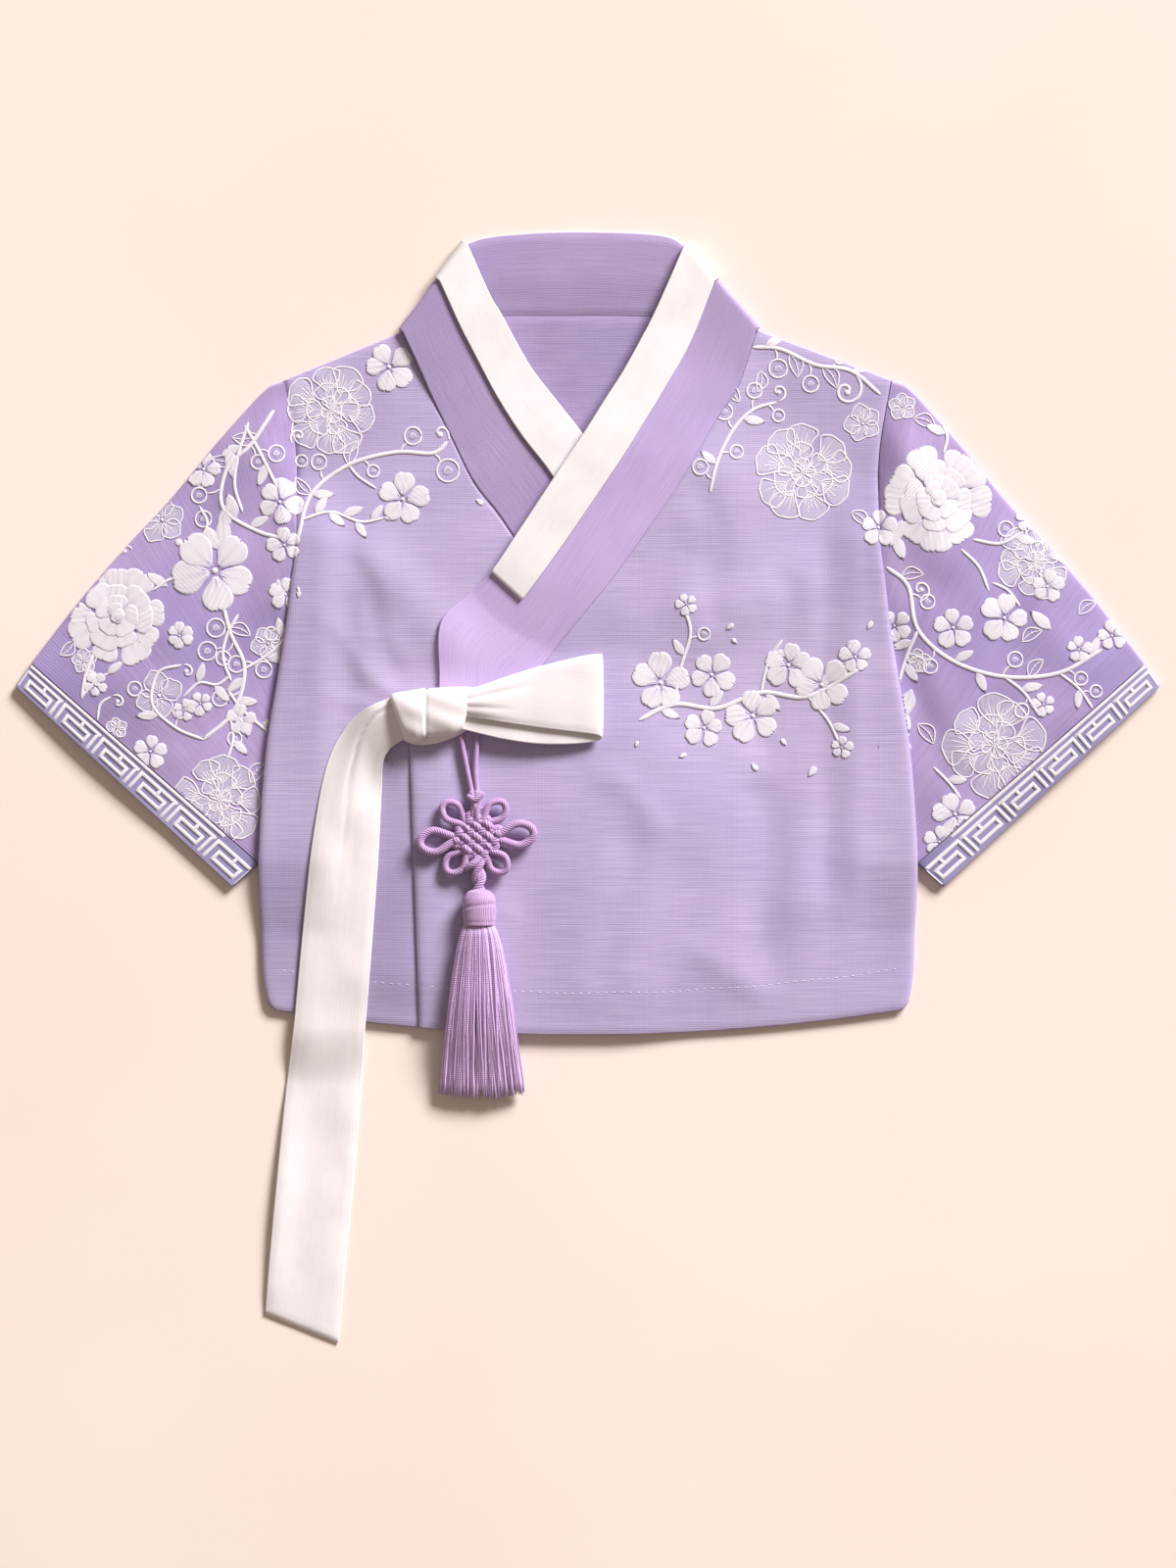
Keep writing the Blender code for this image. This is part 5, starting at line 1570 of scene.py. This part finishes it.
    def leaf(self, x, y, way, length, width, filled=False):
        """A leaf: filled, or two curved edges with a midrib and pairs of veins."""
        if filled:
            self.petal(x, y, way, length, width, 0.36, -0.16, 0.1, 0.45)
            return
        t = np.linspace(0.0, 1.0, 7)
        half = width / 2.0 * np.sin(np.pi * t ** 0.9)
        bend = 0.12 * length * np.sin(np.pi * t)
        c, s = math.cos(way), math.sin(way)
        for sign in (1.0, -1.0):
            across = sign * half + bend
            self.stroke(np.column_stack([x + t * length * c - across * s,
                                         y + t * length * s + across * c]), 0.85, 0.34)
        for share in (0.3, 0.5, 0.7):
            reach = width * 0.30 * math.sin(math.pi * share)
            px = x + share * length * c - bend[3] * s
            py = y + share * length * s + bend[3] * c
            for sign in (1.0, -1.0):
                self.stroke([(px, py), (px + reach * math.cos(way + sign * 0.8),
                                        py + reach * math.sin(way + sign * 0.8))], 0.55, 0.25, 0.3)
        self.stroke(np.column_stack([x + t * length * c - bend * s, y + t * length * s + bend * c]),
                    0.6, 0.3)

    def curl(self, x, y, way, size, turns=1.3, hand=1.0, width=1.3):
        """A tendril that leaves (x, y) and winds up."""
        t = np.linspace(0.0, 1.0, 22)
        angle = way + hand * turns * math.tau * t ** 1.15
        step = size * (1.0 - 0.86 * t) * turns * math.tau / 21.0
        line = np.cumsum(np.column_stack([step * np.cos(angle), step * np.sin(angle)]), axis=0)
        self.stroke(line + (x, y), width, 0.36)
        self.dot(x + line[-1, 0], y + line[-1, 1], 0.9 * width, 0.5)

    def twig(self, places, width=1.7, berries=(), leaves=()):
        """A stem, with berries (share, turn, reach, radius) and leaves (share, turn, length)."""
        places = np.asarray(places, float)
        self.stroke(places, 1.2 * width, 0.42)

        def leaving(share, turn):
            """The place at a share of the stem, and the direction of what leaves it there."""
            shares = np.array([share, min(share + 0.04, 1.0)])
            at, on = eased(np.arange(len(places)), places, shares * (len(places) - 1.0))
            return at, math.atan2(*(on - at)[::-1]) + turn

        for share, turn, reach, radius in berries:
            at, way = leaving(share, turn)
            end = at + reach * np.array([math.cos(way), math.sin(way)])
            mid = (at + end) / 2.0 + 0.12 * reach * np.array([math.cos(way + 1.4), math.sin(way + 1.4)])
            radius = 1.3 * radius
            self.stroke([at, mid, end], 1.1, 0.34)
            self.berry(end[0] + radius * math.cos(way), end[1] + radius * math.sin(way), radius)
        for share, turn, length in leaves:
            at, way = leaving(share, turn)
            self.leaf(at[0], at[1], way, 1.2 * length, 0.62 * length, filled=length < 9.5)


# Wearer's right shoulder
work = Needlework()
work.peony(-131.0, 318.0, 23.0, 0.4, filled=False)
work.blossom(-101.5, 340.0, 12.0, 0.7)
work.twig([(-148.0, 252.0), (-141.0, 275.0), (-122.0, 290.0), (-98.0, 296.5), (-79.0, 296.0),
           (-71.5, 302.0)],
          1.9, [(0.28, 1.2, 6.0, 3.0), (0.46, -1.1, 5.0, 2.4), (0.62, 0.9, 6.0, 3.4),
                (0.80, -1.2, 6.0, 4.4)],
          [(0.2, -0.9, 9.0), (0.40, 0.8, 11.0)])
work.curl(-71.5, 302.0, 1.2, 4.6, 0.9, 1.0, 1.6)
work.twig([(-146.0, 262.0), (-131.0, 266.0), (-116.0, 261.0), (-104.0, 263.0)], 1.4, (),
          [(0.15, 0.7, 9.0), (0.3, -0.7, 8.5), (0.45, 0.7, 9.0), (0.6, -0.7, 8.0), (0.8, 0.7, 8.0),
           (0.98, 0.0, 8.0)])
work.twig([(-122.0, 290.0), (-117.0, 284.0), (-108.0, 278.0)], 1.3)
work.blossom(-94.5, 272.5, 12.5, 0.2)
work.leaf(-141.0, 275.0, 2.3, 12.0, 6.0)
work.berry(-146.0, 292.0, 3.0)
work.petal(-57.5, 272.5, -0.5, 5.0, 3.4, 0.4)
work.blossom(-157.0, 271.0, 11.0, 1.1)
work.blossom(-154.5, 249.0, 8.5, 0.5)
work.curl(-150.0, 300.0, 2.2, 4.2, 1.1, -1.0)

# Wearer's right sleeve
work.peony(-240.0, 213.0, 25.5, 0.2)
work.blossom(-190.0, 236.0, 20.0, 0.95)
work.leaf(-187.0, 255.0, 1.3, 15.0, 8.0, filled=True)
work.leaf(-179.0, 262.0, 1.9, 13.0, 7.0, filled=True)
work.blossom(-217.0, 262.0, 12.0, 0.4, filled=False)
work.peony(-188.0, 119.0, 22.5, 0.7, filled=False)
work.blossom(-223.0, 144.0, 8.5, 0.2)
work.blossom(-208.0, 203.0, 6.5, 0.5, count=6)
work.blossom(-196.0, 288.0, 9.0, 0.1)
work.twig([(-160.0, 318.0), (-172.0, 300.0), (-184.0, 288.0), (-186.0, 268.0), (-168.0, 256.0),
           (-152.0, 252.0)],
          1.9, [(0.2, 1.2, 6.0, 2.8), (0.5, -1.2, 8.0, 3.0)],
          [(0.14, -0.9, 11.0), (0.32, -0.8, 10.0), (0.75, 0.9, 9.0)])
work.twig([(-222.0, 226.0), (-211.0, 232.0), (-203.0, 226.0)], 1.5)
work.twig([(-186.0, 219.0), (-182.0, 204.0), (-175.0, 186.0), (-181.0, 164.0), (-196.0, 150.0)], 1.9,
          [(0.3, -1.0, 7.0, 2.8), (0.45, 1.0, 7.0, 3.2), (0.62, -0.9, 8.0, 3.0), (0.8, 1.1, 7.0, 2.8)],
          [(0.2, 0.9, 10.0), (0.55, -0.7, 9.0), (0.72, 0.8, 9.0)])
work.twig([(-175.0, 186.0), (-165.0, 192.0), (-156.0, 200.0), (-150.0, 212.0)], 1.5,
          [(0.5, 1.0, 5.0, 2.6)], [(0.35, -0.8, 9.0), (0.7, 0.8, 9.0)])
work.twig([(-196.0, 150.0), (-210.0, 156.0), (-222.0, 168.0), (-219.0, 184.0), (-207.0, 188.0)], 1.5,
          [(0.25, -1.2, 5.0, 2.6), (0.55, 1.1, 6.0, 2.8)], [(0.4, 0.9, 9.0)])
work.curl(-207.0, 188.0, 0.2, 3.6, 1.0, -1.0, 1.3)
work.twig([(-156.0, 165.0), (-163.0, 150.0), (-160.0, 140.0)], 1.3, (), [(0.4, 0.9, 9.0)])
work.curl(-232.0, 246.0, 2.0, 3.8, 1.0, 1.0)
work.blossom(-251.0, 178.0, 6.0, 0.9)
work.leaf(-262.0, 200.0, 3.9, 10.0, 6.0)
work.blossom(-206.0, 165.0, 5.5, 0.1)
work.twig([(-252.0, 194.0), (-256.0, 183.0), (-258.0, 171.0)], 1.9, (), [(0.35, 0.9, 9.0)])
work.twig([(-257.5, 172.0), (-251.0, 180.0), (-244.0, 184.0)], 1.3, (), [(0.9, 0.2, 8.0)])
work.twig([(-250.0, 160.0), (-248.5, 168.0), (-243.0, 172.0)], 1.3)
work.curl(-243.0, 172.0, 0.4, 3.6, 1.1, -1.0, 1.3)
work.blossom(-240.0, 156.0, 5.5, 0.5, filled=False)
work.blossom(-218.5, 172.5, 12.0, 0.35, filled=False, count=4)
work.blossom(-197.5, 168.5, 6.0, 0.8)
work.twig([(-206.0, 172.0), (-198.0, 179.0), (-189.0, 178.0), (-182.0, 183.0)], 1.4, (),
          [(0.3, 0.9, 8.5), (0.6, -0.8, 9.0)])
work.twig([(-178.0, 214.0), (-184.0, 203.0), (-186.0, 192.0), (-182.0, 180.0)], 1.6,
          [(0.2, -1.0, 3.0, 3.6), (0.5, -1.1, 4.0, 3.6), (0.7, 1.0, 3.0, 3.2)])
work.twig([(-184.0, 176.0), (-177.0, 166.0), (-168.0, 158.0), (-160.0, 152.0)], 1.5, (),
          [(0.2, 0.9, 9.0), (0.45, -0.8, 9.0), (0.7, 0.9, 9.0)])
work.twig([(-182.0, 160.0), (-181.0, 150.0), (-184.0, 140.0)], 1.4, (), [(0.5, 0.9, 8.0)])
work.blossom(-177.0, 160.0, 7.5, 0.3)
work.blossom(-163.0, 199.0, 8.5, 0.9, filled=False)
work.leaf(-186.0, 246.0, 1.55, 17.0, 9.0, filled=True)
work.leaf(-187.0, 246.0, 2.15, 14.0, 8.0, filled=True)
work.leaf(-198.0, 278.0, 1.15, 18.0, 9.0)
work.leaf(-181.0, 283.0, 1.7, 16.0, 7.0, filled=True)
work.twig([(-173.0, 312.0), (-178.0, 296.0), (-180.0, 280.0), (-176.0, 266.0)], 1.6, (),
          [(0.25, -0.8, 9.0)])
work.twig([(-175.0, 310.0), (-168.0, 298.0), (-162.0, 286.0), (-158.0, 278.0)], 1.7,
          [(0.35, 0.9, 5.0, 3.2)], [(0.55, -0.8, 9.0), (0.8, 0.8, 8.5)])
work.twig([(-198.0, 269.0), (-194.0, 260.0), (-199.0, 251.0), (-207.0, 250.0)], 1.4,
          [(0.06, -0.3, 1.0, 3.2)])
work.dot(-208.5, 250.5, 2.0, 0.5)
work.leaf(-158.0, 232.0, -1.5, 14.0, 8.0, filled=True)
work.blossom(-154.0, 224.0, 8.0, 0.2)
work.leaf(-214.0, 228.0, 2.6, 12.0, 6.0, filled=True)
work.blossom(-257.0, 190.0, 6.5, 0.4, filled=False)
work.leaf(-172.0, 128.0, 0.9, 13.0, 7.0)
work.join("embroidery_right", satin_thread)

# Wearer's left shoulder
work = Needlework()
work.twig([(84.0, 350.0), (98.0, 349.0), (116.0, 341.0), (134.0, 338.0), (149.0, 326.0)], 1.9,
          [(0.2, -1.2, 6.0, 3.6), (0.45, -1.1, 7.0, 3.2), (0.62, 1.0, 3.0, 2.4)],
          [(0.1, 0.5, 9.0), (0.32, -0.8, 11.0), (0.55, -0.9, 11.0), (0.75, 0.7, 8.0)])
work.curl(134.0, 338.0, -0.7, 8.0, 1.35, -1.0, 1.7)
work.peony(109.5, 286.0, 25.0, 0.1, filled=False)
work.blossom(140.0, 311.0, 9.5, 0.6, filled=False)
work.twig([(62.0, 276.0), (66.0, 292.0), (74.0, 308.0), (84.0, 318.0), (96.0, 322.0)], 1.6,
          [(0.1, 1.0, 5.0, 3.0), (0.3, -1.0, 5.0, 2.6), (0.5, 1.1, 6.0, 3.2), (0.75, 1.0, 6.0, 3.0),
           (0.9, -1.0, 5.0, 2.4)], [(0.22, 1.2, 8.0), (0.62, -0.9, 9.0)])
work.curl(96.0, 322.0, 0.3, 4.4, 1.1, 1.0, 1.3)
work.leaf(88.0, 338.0, -1.7, 11.0, 6.0)
work.leaf(77.0, 322.0, 1.9, 10.0, 5.0)
work.blossom(148.0, 258.0, 9.0, 0.3)
work.leaf(134.0, 266.0, -0.7, 11.0, 6.0)

# Wearer's left sleeve
work.peony(178.0, 273.0, 27.0, 0.5)
work.peony(228.0, 241.0, 19.0, 0.9, filled=False)
work.blossom(234.0, 228.0, 8.0, 0.2)
work.blossom(186.0, 207.0, 10.0, 0.4)
work.blossom(212.0, 212.0, 12.0, 0.1)
work.peony(207.0, 147.0, 25.5, 0.3, filled=False)
work.blossom(187.0, 112.0, 11.0, 0.6)
work.blossom(179.0, 98.0, 7.5, 0.2)
work.blossom(156.0, 208.0, 8.0, 0.8)
work.leaf(165.0, 176.0, -1.9, 15.0, 9.0, filled=True)
work.leaf(158.0, 166.0, -1.1, 12.0, 7.0, filled=True)
work.twig([(152.0, 238.0), (163.0, 228.0), (168.0, 206.0), (186.0, 190.0), (212.0, 182.0), (240.0, 184.0),
           (262.0, 196.0)], 2.0,
          [(0.2, 1.0, 6.0, 2.8), (0.42, -1.1, 6.0, 2.8), (0.66, 1.0, 7.0, 3.0), (0.86, -1.0, 5.0, 2.6)],
          [(0.1, 0.9, 10.0), (0.5, 0.9, 9.0), (0.58, -0.9, 9.0), (0.74, 0.8, 10.0), (0.95, 0.6, 9.0)])
work.twig([(190.0, 247.0), (199.0, 238.0), (204.0, 226.0)], 1.5)
work.curl(168.0, 220.0, 0.3, 5.2, 1.2, 1.0, 1.4)
work.twig([(240.0, 184.0), (250.0, 176.0), (257.0, 166.0)], 1.4, [(0.6, 1.0, 4.0, 2.4)],
          [(0.5, -0.8, 8.0), (0.98, 0.0, 8.0)])
work.blossom(267.0, 203.0, 7.5, 0.5)
work.leaf(250.0, 214.0, 0.6, 11.0, 6.0)
work.blossom(160.0, 320.0, 7.0, 0.4, filled=False)
work.blossom(232.0, 168.0, 6.0, 0.6)
work.twig([(181.0, 296.0), (183.0, 304.0), (180.0, 313.0)], 1.5, (), [(0.6, 0.9, 9.0)])
work.leaf(166.0, 314.0, -0.4, 12.0, 6.5)
work.leaf(160.0, 262.0, -2.0, 14.0, 8.0, filled=True)
work.leaf(156.0, 254.0, -1.2, 12.0, 7.0, filled=True)
work.twig([(196.0, 252.0), (210.0, 250.0), (222.0, 256.0)], 1.6, [(0.5, 1.0, 4.0, 3.0)], [(0.8, -0.8, 9.0)])
work.blossom(224.0, 262.0, 6.0, 0.2)
work.twig([(168.0, 206.0), (162.0, 192.0), (158.0, 178.0)], 1.7, [(0.4, 1.0, 4.0, 3.0)],
          [(0.2, -0.8, 9.0), (0.6, 0.9, 9.0)])
work.blossom(157.0, 148.0, 8.5, 0.9, filled=False)
work.leaf(168.0, 158.0, -0.9, 13.0, 7.0)
work.twig([(212.0, 182.0), (222.0, 174.0), (230.0, 162.0)], 1.5, [(0.6, -1.0, 4.0, 2.8)], [(0.4, 0.9, 9.0)])
work.twig([(176.0, 136.0), (184.0, 128.0), (190.0, 120.0)], 1.4, (), [(0.4, 0.8, 8.5), (0.8, -0.8, 8.0)])
work.leaf(196.0, 106.0, 0.2, 12.0, 6.5, filled=True)
work.leaf(236.0, 206.0, 2.4, 13.0, 7.0, filled=True)
work.leaf(221.0, 200.0, 0.5, 12.0, 6.0)
work.blossom(250.0, 196.0, 6.5, 0.3)
work.twig([(206.0, 230.0), (214.0, 226.0), (220.0, 218.0)], 1.4)
work.blossom(168.0, 190.0, 6.0, 0.3, filled=False)
work.join("embroidery_left", satin_thread)

# On the wearer's left breast: a spray of plum blossom, in the same white thread
work = Needlework()
work.twig([(26.0, 160.0), (44.0, 168.0), (66.0, 166.0), (88.0, 174.0), (112.0, 172.0),
           (138.0, 186.0)], 2.2, (),
          [(0.12, -0.8, 8.5), (0.36, 0.9, 9.0), (0.62, -0.8, 9.0), (0.86, 0.8, 8.5)])
work.twig([(44.0, 168.0), (47.0, 186.0), (52.0, 204.0), (49.0, 217.0)], 1.6, [(0.6, -1.0, 5.0, 2.4)],
          [(0.45, 0.9, 8.0)])
work.twig([(112.0, 172.0), (122.0, 160.0), (128.0, 148.0)], 1.4, (), [(0.6, 0.8, 8.0)])
work.twig([(88.0, 174.0), (92.0, 190.0), (99.0, 201.0)], 1.4, (), [(0.6, -0.8, 8.0)])
work.blossom(37.0, 179.0, 14.0, 0.3)
work.blossom(63.0, 183.0, 11.0, 0.9)
work.blossom(59.0, 156.0, 9.5, 0.1)
work.blossom(84.0, 162.0, 13.0, 0.5)
work.blossom(102.0, 188.0, 11.5, 0.2)
work.blossom(119.0, 178.0, 13.5, 0.8)
work.blossom(136.0, 192.0, 8.0, 0.4)
work.blossom(50.0, 219.0, 5.5, 0.7)
work.blossom(129.0, 146.0, 5.5, 0.2)
for x, y, way, size in ((46.0, 141.0, 0.4, 4.6), (83.0, 138.0, -0.8, 5.0), (112.0, 131.0, 0.9, 6.5),
                        (101.0, 147.0, 2.2, 4.4), (70.0, 206.0, 0.6, 5.0), (142.0, 206.0, 1.0, 5.0),
                        (76.0, 199.0, 2.4, 3.8), (24.0, 146.0, 1.2, 3.6)):
    work.petal(x, y, way, size, 0.7 * size, 0.5)
work.join("embroidery_breast", satin_thread, slot="lavender_linen")


# -------------------------------------------------------------------------- hem stitches
# The hem is turned up by about a thumb's width and caught by hand with small running
# stitches of white cotton, which just dent the fronts. The back's lie out of sight.

HEM_DEPTH, STITCH, STITCH_GAP = 21.0, 2.2, 2.0
HEM_FROM, HEM_TO = -156.0, 158.0
THREAD_COVER = 0.55                        # one thin thread, which the cloth shows through
hem = Stitching()
x = HEM_FROM
while x < HEM_TO:
    over = x > OUTER_EDGE[0] + 3.0
    under = outer_under if over else inner_under
    steps = np.linspace(0.0, STITCH, 6)[:, None]
    w = np.array([-0.32, -0.25, 0.0, 0.25, 0.32])[None, :]
    px = x + steps + 0.0 * w
    py = px ** 2 / (2.0 * HEM_RADIUS) + HEM_DEPTH + 0.3 * math.sin(x * 0.13) + w
    sunk = np.array([-0.2, 0.03, 0.08, 0.08, 0.03, -0.2])[:, None]
    pz = under(px, py) + CLOTH + sunk + np.array([-0.15, 0.0, 0.08, 0.0, -0.15])[None, :]
    hem.grid(np.dstack([px, py, pz]), np.stack([steps + 0.0 * w, w + 0.0 * steps], axis=2),
             THREAD_COVER, flip=True)
    x += STITCH + STITCH_GAP
hem.join("hem_stitches", satin_thread, slot="lavender_linen")
